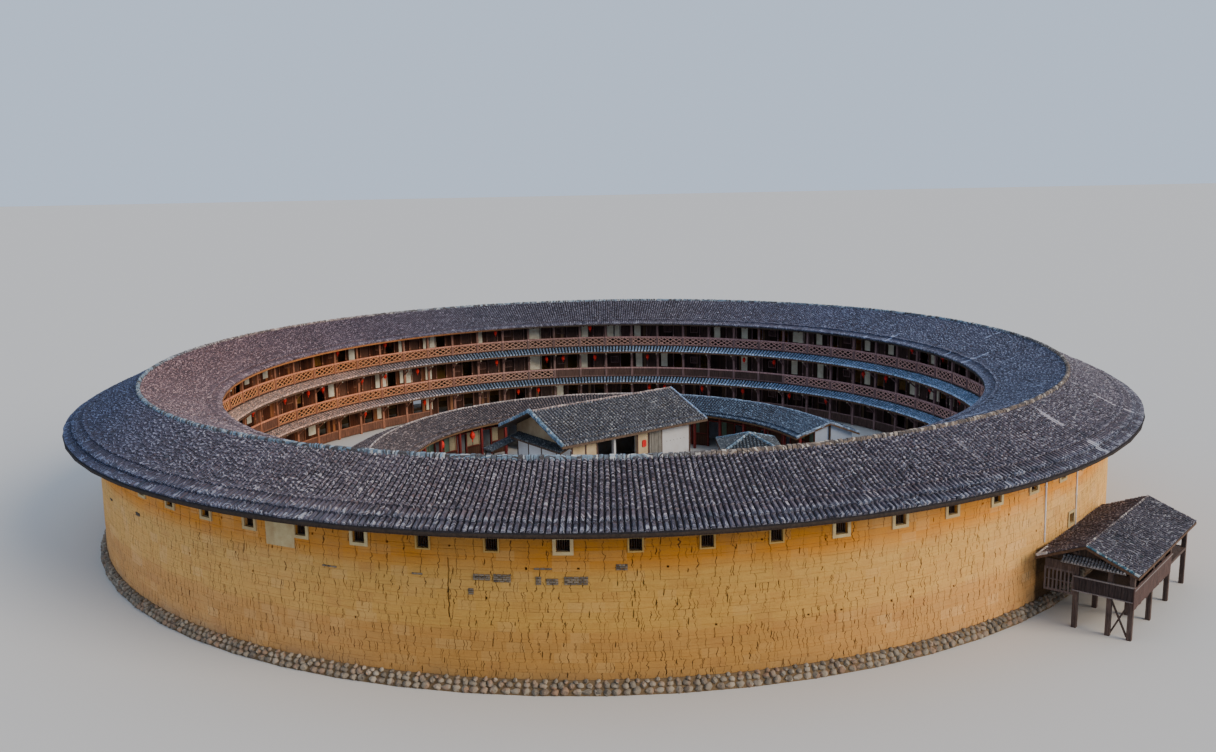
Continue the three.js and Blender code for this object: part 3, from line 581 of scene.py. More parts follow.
def wall_section():
    """A quarter of the wall, closed at both ends, with a shallow groove between each two lifts."""
    middle_height = (PLINTH_TOP + WALL_OUTER_TOP) / 2
    middle_radius = (WALL_FOOT_RADIUS + WALL_INNER_RADIUS) / 2
    bpy.ops.mesh.primitive_plane_add(size=1, location=(middle_radius, 0, middle_height),
                                     rotation=(math.pi / 2, 0, 0))
    section = named("wall_section")
    section.scale = (WALL_FOOT_RADIUS - WALL_INNER_RADIUS, WALL_OUTER_TOP - PLINTH_TOP, 1)
    settle(section)
    with editing(section):
        pick("verts", lambda place: place.z > middle_height and place.x > middle_radius)
        bpy.ops.transform.translate(value=(WALL_TOP_RADIUS - WALL_FOOT_RADIUS, 0, 0))
        pick("verts", lambda place: place.z > middle_height and place.x < middle_radius)
        bpy.ops.transform.translate(value=(0, 0, WALL_INNER_TOP - WALL_OUTER_TOP))
        line = PLINTH_TOP + LIFT_HEIGHT
        while line < WALL_OUTER_TOP - LIFT_HEIGHT / 2:
            for edge in (-LIFT_GROOVE, 0, LIFT_GROOVE):
                slice_at((0, 0, line + edge), (0, 0, 1))
            pick("verts", lambda place: abs(place.z - line) < 1e-4 and place.x > middle_radius)
            bpy.ops.transform.translate(value=(-LIFT_GROOVE, 0, 0))
            line += LIFT_HEIGHT
        pick("verts", lambda place: place.x < middle_radius
             and PLINTH_TOP + 0.01 < place.z < WALL_INNER_TOP - 0.01)
        bpy.ops.mesh.dissolve_verts(use_face_split=False)
        bpy.ops.mesh.select_all(action="SELECT")
        bpy.ops.mesh.dissolve_limited(angle_limit=0.001, delimit=set())
        spin_section(WALL_STEPS, 90)
    return section


def crack_shape(name, draw, levels=(-0.28, -0.05, 0.2), half_width=0.011, wander=0.012):
    """A thin upright wedge that wanders from side to side, one unit high."""
    shape = block(name, (-CRACK_DEPTH, -half_width, -0.5), (CRACK_DEPTH, half_width, 0.5))
    with editing(shape):
        for level in levels:
            slice_at((0, 0, level), (0, 0, 1))
        for level in levels:
            pick("verts", lambda place: abs(place.z - level) < 1e-4)
            bpy.ops.transform.translate(value=(0, draw.uniform(-wander, wander), 0))
        pick("verts", lambda place: abs(place.z) > 0.49)
        bpy.ops.transform.resize(value=(1, 0.3, 1))
    return shape


def on_wall(part, azimuth, height, stretch=1.0, widening=1.0):
    """A copy of a part on the wall's face, stretched in height and width."""
    on_face = shift(wall_radius(height), 0, height)
    return copy_of(part, turn(azimuth) @ on_face @ Matrix.Diagonal((1, widening, stretch, 1)))


rammed_earth = earth_finish()
crack_shade = crack_finish()

draw = random.Random(CRACK_SEED)
cracks = [crack_shape(f"crack_{number}", draw) for number in range(CRACK_SHAPES)]
long_crack = crack_shape("long_crack", draw, LONG_CRACK_LEVELS, LONG_CRACK_HALF_WIDTH, LONG_CRACK_WANDER)
putlog_hole = block("putlog_hole", *PUTLOG_HOLE)
window_hole = block("window_hole", (-0.8, -WINDOW_SIZE / 2, -WINDOW_SIZE / 2),
                    (0.2, WINDOW_SIZE / 2, WINDOW_SIZE / 2))
doorway_hole = block("doorway_hole", (-0.9, -DOORWAY_WIDTH / 2, -0.4),
                     (0.3, DOORWAY_WIDTH / 2, DOORWAY_HOLE_REACH))
section = wall_section()
wall_clouds = clouds("wall_unevenness", 0.45, 3)
lifts = int((WALL_OUTER_TOP - PLINTH_TOP) / LIFT_HEIGHT) - 1

for quarter in range(4):
    start = FIRST_POST_DEG + 90 * quarter
    wall = unevenness(copy_of(section, turn(start)), wall_clouds, WALL_UNEVENNESS)
    wall.data.materials.append(rammed_earth.material)
    wall.data.materials.append(crack_shade.material)
    through = [on_wall(window_hole, start + (bay + 0.5) * BAY_DEG, WINDOW_HEIGHT)
               for bay in range(QUARTER_BAYS)]
    if quarter == 3:
        through.append(on_wall(window_hole, LOW_WINDOW_DEG, LOW_WINDOW_HEIGHT))
    if quarter == DOORWAY_BAY // QUARTER_BAYS:
        through.append(copy_of(doorway_hole, turn(DOORWAY_DEG)
                               @ shift(WALL_FOOT_RADIUS, 0, DOORWAY_TOP - DOORWAY_HOLE_REACH)))
    shallow = []
    for cell in draw.sample(range(QUARTER_BAYS * lifts * 3), CRACKS_IN_BAY * QUARTER_BAYS):
        column, lift = divmod(cell, lifts)
        azimuth = start + (column + draw.uniform(0.15, 0.85)) / 3 * BAY_DEG
        height = PLINTH_TOP + (lift + 0.5) * LIFT_HEIGHT
        from_window = (azimuth - start) % BAY_DEG - BAY_DEG / 2
        beside, level = CRACKS_CLEAR_OF_WINDOW
        if abs(from_window) < beside and abs(height - WINDOW_HEIGHT) < level:
            continue
        shallow.append(on_wall(draw.choice(cracks), azimuth, height, draw.uniform(*CRACK_LENGTHS)))
    for hole in range(PUTLOG_HOLES_IN_QUARTER):
        azimuth = start + (hole + draw.uniform(0.2, 0.8)) / PUTLOG_HOLES_IN_QUARTER * 90
        height = PLINTH_TOP + (draw.choice(PUTLOG_LIFTS) + 0.97) * LIFT_HEIGHT
        shallow.append(on_wall(putlog_hole, azimuth, height, draw.uniform(0.6, 1.1)))
    if quarter == 2:
        shallow.append(on_wall(long_crack, LONG_CRACK_DEG, sum(LONG_CRACK_HEIGHTS) / 2,
                               LONG_CRACK_HEIGHTS[1] - LONG_CRACK_HEIGHTS[0]))
    for cutters, slot in ((through, 0), (shallow, 1)):
        cutter = joined("cutter", cutters)
        cutter.data.materials.append(rammed_earth.material)
        cutter.data.materials.append(crack_shade.material)
        cutter.data.polygons.foreach_set("material_index", [slot] * len(cutter.data.polygons))
        modify(wall, "BOOLEAN", operation="DIFFERENCE", object=cutter, solver="MANIFOLD")
        clear_away(cutter)
    show(f"earth_wall_{quarter + 1}", [wall], [rammed_earth, crack_shade],
         [f"outer_wall_{3 * quarter + number}" for number in (1, 2, 3)])
clear_away(*cracks, long_crack, putlog_hole, window_hole, doorway_hole, section)


# Wall windows
# Each bay has a small square window under the eaves. A timber frame with upright bars is set back in the
# hole, and a border of pale plaster is laid on the wall. Five windows at the front have only a thin border.
PLASTER_SIZE = (0.4, 0.378)
THIN_BORDER_SIZE = 0.31
THIN_BORDER_BAYS = (-20, -19, -17, -16, -15)
BORDER_BACK = -0.05
BORDER_PROUD = 0.03
SASH_DEPTHS = (-0.11, -0.06)
SASH_WIDTH = 0.026
BAR_SIDES = (-0.07, -0.023, 0.023, 0.07)
BAR_DEPTHS = (-0.095, -0.075)
PLASTER_SHEET_DEG = (-117.9, -114.3)
PLASTER_SHEET_HEIGHTS = (2.57, 3.2)


def bordered(name, low, high, border):
    """A flat frame with a square hole along x."""
    frame_part = block(name, low, high)
    with editing(frame_part):
        pick("faces", lambda place: min(abs(place.x - low[0]), abs(place.x - high[0])) < 1e-5)
        bpy.ops.mesh.inset(thickness=border)
        bpy.ops.mesh.bridge_edge_loops()
    return frame_part


def plaster_finish(name, clean, stained, tone_by_bay=True):
    finish = Finish(name, 0.9, 0.15)
    stain = finish.noise(5.0, 4.0)
    tone = finish.mix(stain.ramp(0.35, 0.75), clean, stained)
    if tone_by_bay:
        bay = (ring_angle(finish) * BAYS + 0.107).floor()
        tone = finish.mix(finish.scatter(bay, 2.0, 2.0) * 0.55, tone, stained)
    grain = finish.noise(45.0, 4.0)
    tone = finish.mix(grain.ramp(0.5, 0.8) * 0.3, tone, rgb(0.30, 0.24, 0.16))
    return finish.finished(tone, grain, 0.008)


def wood_finish(name, dark, light, worn, roughness=0.75):
    """Weathered timber with upright grain, darker patches and pale worn spots."""
    finish = Finish(name, roughness, 0.25)
    grain = finish.noise(7.0, 4.0, (6, 6, 0.5))
    tone = finish.mix(grain.ramp(0.3, 0.7), dark, light)
    patches = finish.noise(1.1, 3.0)
    tone = finish.mix(patches.ramp(0.5, 0.8) * 0.55, tone, dark)
    fine = finish.noise(40.0, 3.0, (1, 1, 0.2))
    tone = finish.mix(fine.ramp(0.55, 0.85) * 0.4, tone, worn)
    return finish.finished(tone, grain * 0.6 + fine * 0.4, 0.01)


plaster = plaster_finish("window_plaster", rgb(0.58, 0.48, 0.26), rgb(0.42, 0.29, 0.14))
thin_plaster = plaster_finish("thin_plaster", rgb(0.46, 0.32, 0.11), rgb(0.36, 0.21, 0.06))
dark_timber = wood_finish("dark_timber", rgb(0.02, 0.013, 0.01), rgb(0.07, 0.042, 0.028),
                          rgb(0.14, 0.10, 0.07))

half_width, half_height = PLASTER_SIZE[0] / 2, PLASTER_SIZE[1] / 2
full_border = bordered("border", (BORDER_BACK, -half_width, -half_height),
                       (BORDER_PROUD, half_width, half_height), (PLASTER_SIZE[0] - WINDOW_SIZE) / 2 - 0.004)
half_thin, half_window = THIN_BORDER_SIZE / 2, WINDOW_SIZE / 2
thin_border = bordered("thin_border", (BORDER_BACK, -half_thin, -half_thin),
                       (BORDER_PROUD, half_thin, half_thin), 0.03)
sash = bordered("sash", (SASH_DEPTHS[0], -half_window, -half_window),
                (SASH_DEPTHS[1], half_window, half_window), SASH_WIDTH)
bars = [block(f"bar_{number}", (BAR_DEPTHS[0], side - 0.007, -0.12), (BAR_DEPTHS[1], side + 0.007, 0.12))
        for number, side in enumerate(BAR_SIDES)]
barred_sash = joined("barred_sash", [sash, *bars])

borders, thin_borders, sashes = [], [], []
for bay in range(-BAYS // 2, BAYS // 2):
    azimuth = FIRST_BAY_DEG + bay * BAY_DEG
    if bay in THIN_BORDER_BAYS:
        thin_borders.append(on_wall(thin_border, azimuth, WINDOW_HEIGHT))
    else:
        borders.append(on_wall(full_border, azimuth, WINDOW_HEIGHT))
    sashes.append(on_wall(barred_sash, azimuth, WINDOW_HEIGHT))
borders.append(on_wall(full_border, LOW_WINDOW_DEG, LOW_WINDOW_HEIGHT))
sashes.append(on_wall(barred_sash, LOW_WINDOW_DEG, LOW_WINDOW_HEIGHT))


def arc_bar(name, radii, heights, start_deg, sweep_deg, steps, centre=(0, 0)):
    """A bar of oblong section, bent along a ring."""
    bpy.ops.mesh.primitive_plane_add(
        size=1, location=(sum(radii) / 2, 0, sum(heights) / 2), rotation=(math.pi / 2, 0, 0))
    bar = named(name)
    bar.scale = (abs(radii[1] - radii[0]), abs(heights[1] - heights[0]), 1)
    settle(bar)
    with editing(bar):
        spin_section(steps, sweep_deg)
    return moved(bar, shift(*centre, 0) @ turn(start_deg))


sheet_face = wall_radius(sum(PLASTER_SHEET_HEIGHTS) / 2)
plaster_sheet = arc_bar("plaster_sheet", (sheet_face - 0.05, sheet_face + 0.022), PLASTER_SHEET_HEIGHTS,
                        PLASTER_SHEET_DEG[0], PLASTER_SHEET_DEG[1] - PLASTER_SHEET_DEG[0] - 0.75, 4)
show("window_borders", [*borders, plaster_sheet], [plaster])
show("thin_window_borders", thin_borders, [thin_plaster])
show("window_sashes", sashes, [dark_timber])
clear_away(full_border, thin_border, barred_sash)


# Brick repairs
# Holes in the earth are filled with short courses of grey fired brick, laid flush in mud. Every second
# course starts and ends with half a brick, so the joints are broken.
BRICK_SIZE = (0.105, 0.032)
MUD_JOINTS = (0.012, 0.01)
# Azimuth, height, bricks in a course and courses of each repair
BRICK_REPAIRS = [(-100.0, 2.285, 3, 3), (-98.45, 2.255, 3, 4), (-95.3, 2.22, 1, 4), (-94.5, 2.22, 2, 3),
                 (-93.2, 2.22, 4, 4), (-89.4, 2.50, 2, 3), (-95.4, 2.52, 3, 1), (-104.8, 2.33, 2, 1),
                 (-100.4, 1.99, 1, 3), (-112.5, 2.30, 3, 1), (-137.4, 2.3, 2, 2), (-146.0, 2.18, 2, 1)]
BRICK_SEED = 23


def brick_finish():
    finish = Finish("repair_brick", 0.9, 0.15)
    x, _, z = finish.axes()
    shade = finish.scatter((x * 9.0).floor(), (z / 0.04).floor(), 0.0)
    tone = finish.mix(shade, rgb(0.06, 0.05, 0.045), rgb(0.19, 0.16, 0.125))
    grain = finish.noise(50.0, 4.0)
    return finish.finished(finish.mix(grain.ramp(0.5, 0.8) * 0.4, tone, rgb(0.34, 0.25, 0.15)),
                           grain, 0.006)


repair_brick = brick_finish()
draw = random.Random(BRICK_SEED)
brick = block("brick", (-0.05, -BRICK_SIZE[0] / 2, -BRICK_SIZE[1] / 2),
              (0.022, BRICK_SIZE[0] / 2, BRICK_SIZE[1] / 2))
with editing(brick):
    pick("edges", lambda place: place.x > 0.02)
    bpy.ops.mesh.bevel(offset=0.004, segments=1)
bricks = []
for azimuth, height, count, rows in BRICK_REPAIRS:
    for row in range(rows):
        halves = [0.5] if row % 2 else []
        along = 0.0
        for length in (*halves, *[1.0] * (count - len(halves)), *halves):
            step = length * (BRICK_SIZE[0] + MUD_JOINTS[0])
            brick_deg = azimuth + math.degrees((along + step / 2) / WALL_FOOT_RADIUS)
            level = height + row * (BRICK_SIZE[1] + MUD_JOINTS[1]) + draw.uniform(-0.003, 0.003)
            bricks.append(on_wall(brick, brick_deg, level, widening=length * draw.uniform(0.92, 1.0)))
            along += step
clear_away(brick)
show("brick_repairs", bricks, [repair_brick])


# Doorway
# The way through the wall has a plain surround of dressed stone, cut smooth and set into the earth. It's on
# the side that the photograph doesn't show.
DOORWAY_SILL = 0.12
SURROUND_WIDTH = 0.14
SURROUND_DEPTHS = (-0.1, 0.03)

surround_side = DOORWAY_WIDTH / 2 + SURROUND_WIDTH
surround = bordered("surround", (SURROUND_DEPTHS[0], -surround_side, DOORWAY_SILL - SURROUND_WIDTH),
                    (SURROUND_DEPTHS[1], surround_side, DOORWAY_TOP + SURROUND_WIDTH), SURROUND_WIDTH)
with editing(surround):
    cut_foot(DOORWAY_SILL)
moved(surround, turn(DOORWAY_DEG) @ shift(WALL_FOOT_RADIUS, 0, 0))
modify(surround, "BEVEL", width=0.008, segments=2)


def dressed_stone_finish():
    finish = Finish("dressed_stone", 0.85, 0.2)
    grain = finish.noise(24.0, 5.0)
    broad = finish.noise(2.4, 3.0)
    tone = finish.mix(grain.ramp(0.3, 0.7), rgb(0.24, 0.22, 0.19), rgb(0.42, 0.39, 0.34))
    return finish.finished(finish.mix(broad.ramp(0.45, 0.75) * 0.5, tone, rgb(0.20, 0.17, 0.12)),
                           grain, 0.006)


dressed_stone = dressed_stone_finish()
show("doorway_surround", [surround], [dressed_stone])


# Upper floors
# Two floors of planks run round the ring from the gallery's edge to the earth wall, laid on the beams. The
# CAD slabs carry the finish, which shows each plank with a dark gap beside it.
FLOOR_PLANK_WIDTH = 0.14


def ring_radius(finish):
    x, y, _ = finish.axes()
    return x.maths("SQRT", x * x + y * y)


def floor_board_finish():
    finish = Finish("floor_boards", 0.75)
    board = ring_radius(finish) / FLOOR_PLANK_WIDTH
    row = board.floor()
    gap = (board - row).below(0.08)
    tone = finish.mix(finish.scatter(row, 1.0, 4.0), rgb(0.02, 0.012, 0.009), rgb(0.05, 0.03, 0.02))
    grain = finish.noise(12.0, 4.0)
    tone = finish.mix(grain.ramp(0.4, 0.8) * 0.5, tone, rgb(0.10, 0.068, 0.045))
    return finish.finished(finish.mix(gap, tone, rgb(0.012, 0.008, 0.006)), grain * 0.5 - gap, 0.008)


floor_boards = floor_board_finish()
cover(floor_boards, "second_floor_1", "second_floor_2", "third_floor_1", "third_floor_2")


# Gallery posts and rails
# Square oiled posts stand at each bay and are tied by plates and handrails. Under each floor a beam runs out
# over the post, with a pale sawn end. The CAD frames stay, and the beams, corbels and foot rails are added.
POST_RADIUS = 12.24
SECOND_FLOOR_TOP = 1.26
THIRD_FLOOR_TOP = 2.61
FLOOR_THICKNESS = 0.09
RAIL_TOP = 0.405
BEAM_END_RADIUS = 11.87
BEAM_DROP = 0.175
BEAM_HALF_WIDTH = 0.034
BEAM_DEPTH = 0.068
STRUT_RADIUS = 12.1
STRUT_LEAN_DEG = 38


def tinted(finish, *tints):
    """Multiplies a finish's colour by tints, each over its own share of the surface."""
    tone = Signal(finish, finish.shader.inputs["Base Color"].links[0].from_socket)
    for share, tint in tints:
        tone = finish.mix(share, tone, tint, "MULTIPLY")
    finish.colour(tone)
    return finish


def sun_side(finish):
    """1 on the ring's left, where the low sun comes in under the roof, falling to 0 near the middle."""
    return 1.0 - finish.axes()[0].ramp(-10.0, -3.5)


def shade_side(finish):
    """0 on the left and the middle, rising to 1 where the ring's back turns away from the sun."""
    return finish.axes()[0].ramp(-1.0, 5.0)


def gallery_wood_finish():
    """Dark oiled timber, painted warm as painted sunlight on the ring's left, and brighter on the right
    where the ring turns from the sun, as painted light. The handrail tops are painted paler as painted
    highlight.
    """
    finish = wood_finish("gallery_timber", rgb(0.075, 0.043, 0.04), rgb(0.20, 0.125, 0.115),
                         rgb(0.34, 0.25, 0.22))
    z = finish.axes()[2]
    # Painted highlight: a band at the top of each handrail is painted paler.
    rails = 0.0
    for floor_top in (SECOND_FLOOR_TOP, THIRD_FLOOR_TOP):
        rail_top = floor_top + RAIL_TOP
        rails = z.above(rail_top - 0.05) * z.below(rail_top + 0.005) + rails
    # Painted light: warm on the sunlit left, brighter on the right where the ring turns from the sun.
    return tinted(finish, (rails, rgb(2.3, 2.2, 2.2)), (sun_side(finish), rgb(1.9, 1.25, 0.75)),
                  (shade_side(finish), rgb(1.45, 1.4, 1.5)))


def eased(part, width):
    """Takes the sharp edges off sawn timber."""
    return modify(part, "BEVEL", width=width, segments=1)


gallery_timber = gallery_wood_finish()
sawn_ends = wood_finish("sawn_ends", rgb(0.36, 0.30, 0.22), rgb(0.62, 0.54, 0.42), rgb(0.70, 0.64, 0.54))
cover(gallery_timber, "gallery_frame_1", "gallery_frame_2", "gallery_frame_3")

beams, ends = [], []
for floor_top in (SECOND_FLOOR_TOP, THIRD_FLOOR_TOP):
    beam_top = floor_top - FLOOR_THICKNESS - BEAM_DROP
    beam = block("beam", (BEAM_END_RADIUS, -BEAM_HALF_WIDTH, beam_top - BEAM_DEPTH),
                 (POST_RADIUS - 0.046, BEAM_HALF_WIDTH, beam_top))
    with editing(beam):
        pick("verts", lambda place: place.x < BEAM_END_RADIUS + 0.01 and place.z < beam_top - 0.05)
        bpy.ops.transform.translate(value=(0.03, 0, 0))
    strut = block("strut", (BEAM_END_RADIUS + 0.05, -0.022, -0.02), (POST_RADIUS - 0.02, 0.022, 0.02))
    moved(strut, shift(0, 0, beam_top - 0.2) @ shift(STRUT_RADIUS, 0, 0)
          @ Matrix.Rotation(math.radians(STRUT_LEAN_DEG), 4, "Y") @ shift(-STRUT_RADIUS, 0, 0))
    beams += [beam, strut]
    ends.append(block("beam_end", (BEAM_END_RADIUS - 0.004, -0.031, beam_top - 0.058),
                      (BEAM_END_RADIUS - 0.0005, 0.031, beam_top - 0.003)))
beams = moved(joined("beams", beams), turn(FIRST_POST_DEG))
around(beams, BAYS, BAY_DEG)
eased(beams, 0.004)
show("gallery_beams", [beams], [gallery_timber])

ends = moved(joined("ends", ends), turn(FIRST_POST_DEG))
show("beam_ends", [around(ends, BAYS, BAY_DEG)], [sawn_ends])


# Balustrades
# Between the posts are foot rails and panels: openwork carved lattice all round the top gallery, and lattice
# or upright planks on the middle one. Low plank panels close parts of the ground floor.
BAY_CLEAR = 2 * POST_RADIUS * math.sin(math.radians(BAY_DEG / 2)) - 0.09
LATTICE_SPAN = (0.05, 0.345)
LATTICE_CELLS = 4
PLANK_RUNS_MIDDLE = ((54, 98), (161, 203))
PLANK_RUNS_GROUND = ((18, 72), (128, 176))
FOOT_RAIL_HEIGHTS = (0.018, 0.056)
LATTICE_BAR = 0.03
PLANKS_IN_BAY = 8
PLANK_HEIGHTS = (0.04, 0.35)
PLANK_JOINT = 0.003
GROUND_RAIL_HEIGHT = 0.33


def in_runs(azimuth, runs):
    return any(low <= azimuth % 360 <= high for low, high in runs)


def at_bay(part, bay, floor_top):
    line_of_posts = POST_RADIUS * math.cos(math.radians(BAY_DEG / 2))
    return copy_of(part, turn(FIRST_BAY_DEG + bay * BAY_DEG) @ shift(line_of_posts, 0, floor_top))


foot_rail = block("foot_rail", (-0.02, -BAY_CLEAR / 2, FOOT_RAIL_HEIGHTS[0]),
                  (0.02, BAY_CLEAR / 2, FOOT_RAIL_HEIGHTS[1]))
bpy.ops.mesh.primitive_grid_add(x_subdivisions=2, y_subdivisions=LATTICE_CELLS, size=1)
lattice = named("lattice")
lattice.scale = (LATTICE_SPAN[1] - LATTICE_SPAN[0], BAY_CLEAR, 1)
lattice.rotation_euler = (0, math.pi / 2, 0)
lattice.location = (0, 0, sum(LATTICE_SPAN) / 2)
settle(lattice)
with editing(lattice):
    bpy.ops.mesh.poke()
    cell = BAY_CLEAR / LATTICE_CELLS
    pick("edges", lambda place: abs(place.z - sum(LATTICE_SPAN) / 2) < 1e-4
         or abs(place.y) < BAY_CLEAR / 2 - 0.01 and abs(place.y / cell - round(place.y / cell)) < 1e-3)
    bpy.ops.mesh.dissolve_edges(use_verts=False)
modify(lattice, "WIREFRAME", thickness=LATTICE_BAR, use_even_offset=True, use_replace=True)
plank_panel = []
plank_half_width = BAY_CLEAR / (2 * PLANKS_IN_BAY)
for number in range(PLANKS_IN_BAY):
    side = (number - (PLANKS_IN_BAY - 1) / 2) * BAY_CLEAR / PLANKS_IN_BAY
    plank_panel.append(block("plank", (-0.012, side - plank_half_width + PLANK_JOINT, PLANK_HEIGHTS[0]),
                             (0.012, side + plank_half_width - PLANK_JOINT, PLANK_HEIGHTS[1])))
plank_panel = joined("plank_panel", plank_panel)

lattices, planks, rails = [], [], []
for bay in range(BAYS):
    azimuth = FIRST_BAY_DEG + bay * BAY_DEG
    rails += [at_bay(foot_rail, bay, SECOND_FLOOR_TOP), at_bay(foot_rail, bay, THIRD_FLOOR_TOP)]
    lattices.append(at_bay(lattice, bay, THIRD_FLOOR_TOP))
    if in_runs(azimuth, PLANK_RUNS_MIDDLE):
        planks.append(at_bay(plank_panel, bay, SECOND_FLOOR_TOP))
    else:
        lattices.append(at_bay(lattice, bay, SECOND_FLOOR_TOP))
    if in_runs(azimuth, PLANK_RUNS_GROUND):
        planks.append(at_bay(plank_panel, bay, 0.0))
        rails.append(at_bay(foot_rail, bay, GROUND_RAIL_HEIGHT))
carved_wood = wood_finish("carved_lattice", rgb(0.26, 0.15, 0.12), rgb(0.54, 0.35, 0.28),
                          rgb(0.66, 0.50, 0.42))
# Painted light: the lattice is warmer on the sunlit left, and brighter and bluer on the right.
tinted(carved_wood, (sun_side(carved_wood), rgb(1.5, 1.05, 0.58)),
       (shade_side(carved_wood), rgb(1.7, 1.6, 1.75)))
plank_wood = wood_finish("plank_panels", rgb(0.035, 0.02, 0.018), rgb(0.115, 0.065, 0.052),
                         rgb(0.20, 0.135, 0.11))
# Painted sunlight: the planks are warmer and brighter on the sunlit left.
tinted(plank_wood, (sun_side(plank_wood), rgb(1.7, 1.25, 0.9)))
show("lattice_panels", lattices, [carved_wood])
show("plank_panels", planks, [plank_wood])
show("foot_rails", rails, [gallery_timber])
clear_away(foot_rail, lattice, plank_panel)


# Room fronts
# Behind the galleries the rooms close with dark boards on a timber frame. Each bay has a door, and beside it
# a cream panel, a barred window or plain boards.
ROOM_FRONT_RADIUS = 12.8
BOARD_WIDTH = 0.13
DARK_GROUND_RUN = ((48, 128),)
CLOSED_TOP_RUN = ((60, 120),)
STOREYS = ((0.0, 1.17), (SECOND_FLOOR_TOP, 1.26), (THIRD_FLOOR_TOP, 1.2))  # floor top and clear height
DOOR_SIDE = -0.27
DOOR_FRAME = ((-0.02, -0.25, -0.04), (0.0, 0.25, 0.99))
DOOR_LEAF = ((0.012, -0.2, 0.012), (0.034, 0.2, 0.94))
SHUTTER = ((-0.018, -0.17, -0.15), (0.0, 0.17, 0.15))
CREAM_PANEL = ((-0.014, -0.14, 0.0), (-0.002, 0.14, 0.74))
SHUT_DOORS = 0.45
TWO_CREAMS_BELOW, DARK_BELOW, CREAM_BELOW, WINDOWS_BELOW = 0.07, 0.36, 0.42, 0.8  # of one draw a bay
SHUTTER_BAR_SIDES = (-0.08, -0.027, 0.027, 0.08)
ROOM_SEED = 31


def room_front_finish():
    """Upright boards, each with its own tone."""
    finish = Finish("room_boards", 0.8, 0.2)
    x, y, z = finish.axes()
    across = y.maths("ARCTAN2", y, x) * (ROOM_FRONT_RADIUS / BOARD_WIDTH)
    board = across.floor()
    gap = (across - board).below(0.07)
    shade = finish.scatter(board, (z / 1.35).floor(), 0.0)
    tone = finish.mix(shade, rgb(0.012, 0.007, 0.007), rgb(0.055, 0.027, 0.021))
    tone = finish.mix(shade.ramp(0.86, 1.0) * 0.6, tone, rgb(0.26, 0.17, 0.10))
    grain = finish.noise(9.0, 4.0, (5, 5, 0.5))
    tone = finish.mix(grain.ramp(0.4, 0.75) * 0.3, tone, rgb(0.13, 0.07, 0.045))
    return finish.finished(finish.mix(gap, tone, rgb(0.008, 0.006, 0.005)), grain * 0.4 - gap, 0.01)


room_boards = room_front_finish()
# Painted sunlight: the room boards are warmer and brighter on the sunlit left.
tinted(room_boards, (sun_side(room_boards), rgb(2.2, 1.3, 0.8)))
cover(room_boards, "room_fronts_1", "room_fronts_2", "room_fronts_3")


def door_frame_shape(name):
    """Two jambs and a head. The lower side of the border is cut off at the floor."""
    jambs = bordered(name, *DOOR_FRAME, 0.04)
    with editing(jambs):
        cut_foot(0.001)
    return jambs


draw = random.Random(ROOM_SEED)
door_frame = door_frame_shape("door_frame")
door_leaf = block("door_leaf", *DOOR_LEAF)
with editing(door_leaf):
    pick("faces", lambda place: place.x < 0.013)
    bpy.ops.mesh.inset(thickness=0.03)
    bpy.ops.transform.translate(value=(0.008, 0, 0))
shutter = bordered("shutter", *SHUTTER, 0.03)
shutter_bars = [block("bar", (-0.01, side - 0.008, -0.13), (0.0, side + 0.008, 0.13))
                for side in SHUTTER_BAR_SIDES]
room_window = joined("room_window", [shutter, *shutter_bars])
cream_panel = block("cream_panel", *CREAM_PANEL)
with editing(cream_panel):
    pick("faces", lambda place: place.x < -0.013)
    bpy.ops.mesh.inset(thickness=0.012)
    bpy.ops.transform.translate(value=(0.004, 0, 0))


def on_front(part, bay, side, height):
    """A copy of a part on a room front's face, a distance to the side of the bay's middle."""
    face = ROOM_FRONT_RADIUS * math.cos(math.radians(BAY_DEG / 2)) - 0.001
    return copy_of(part, turn(FIRST_BAY_DEG + bay * BAY_DEG) @ shift(face, side, height))


door_parts, leaf_parts, cream_parts = [], [], []
for bay in range(BAYS):
    for floor_top, _ in STOREYS:
        door_parts.append(on_front(door_frame, bay, DOOR_SIDE, floor_top))
        kind = draw.random()
        if draw.random() < SHUT_DOORS or floor_top > 2 and in_runs(bay * BAY_DEG, CLOSED_TOP_RUN):
            leaf_parts.append(on_front(door_leaf, bay, DOOR_SIDE, floor_top))
        dark = floor_top == 0 and in_runs(FIRST_BAY_DEG + bay * BAY_DEG, DARK_GROUND_RUN)
        if dark and kind < DARK_BELOW:
            continue
        if kind < CREAM_BELOW:
            cream_parts.append(on_front(cream_panel, bay, 0.36 + draw.uniform(-0.06, 0.04),
                                        floor_top + draw.uniform(0.3, 0.36)))
            if kind < TWO_CREAMS_BELOW:
                cream_parts.append(on_front(cream_panel, bay, 0.06, floor_top + 0.33))
        elif kind < WINDOWS_BELOW:
            door_parts.append(on_front(room_window, bay, 0.22, floor_top + 0.66))
cream_paint = plaster_finish("cream_panels", rgb(0.86, 0.82, 0.66), rgb(0.66, 0.58, 0.42), False)
show("room_door_frames", door_parts, [gallery_timber])
show("room_door_leaves", leaf_parts, [plank_wood])
show("cream_panels", cream_parts, [cream_paint])
clear_away(door_frame, door_leaf, room_window, cream_panel)


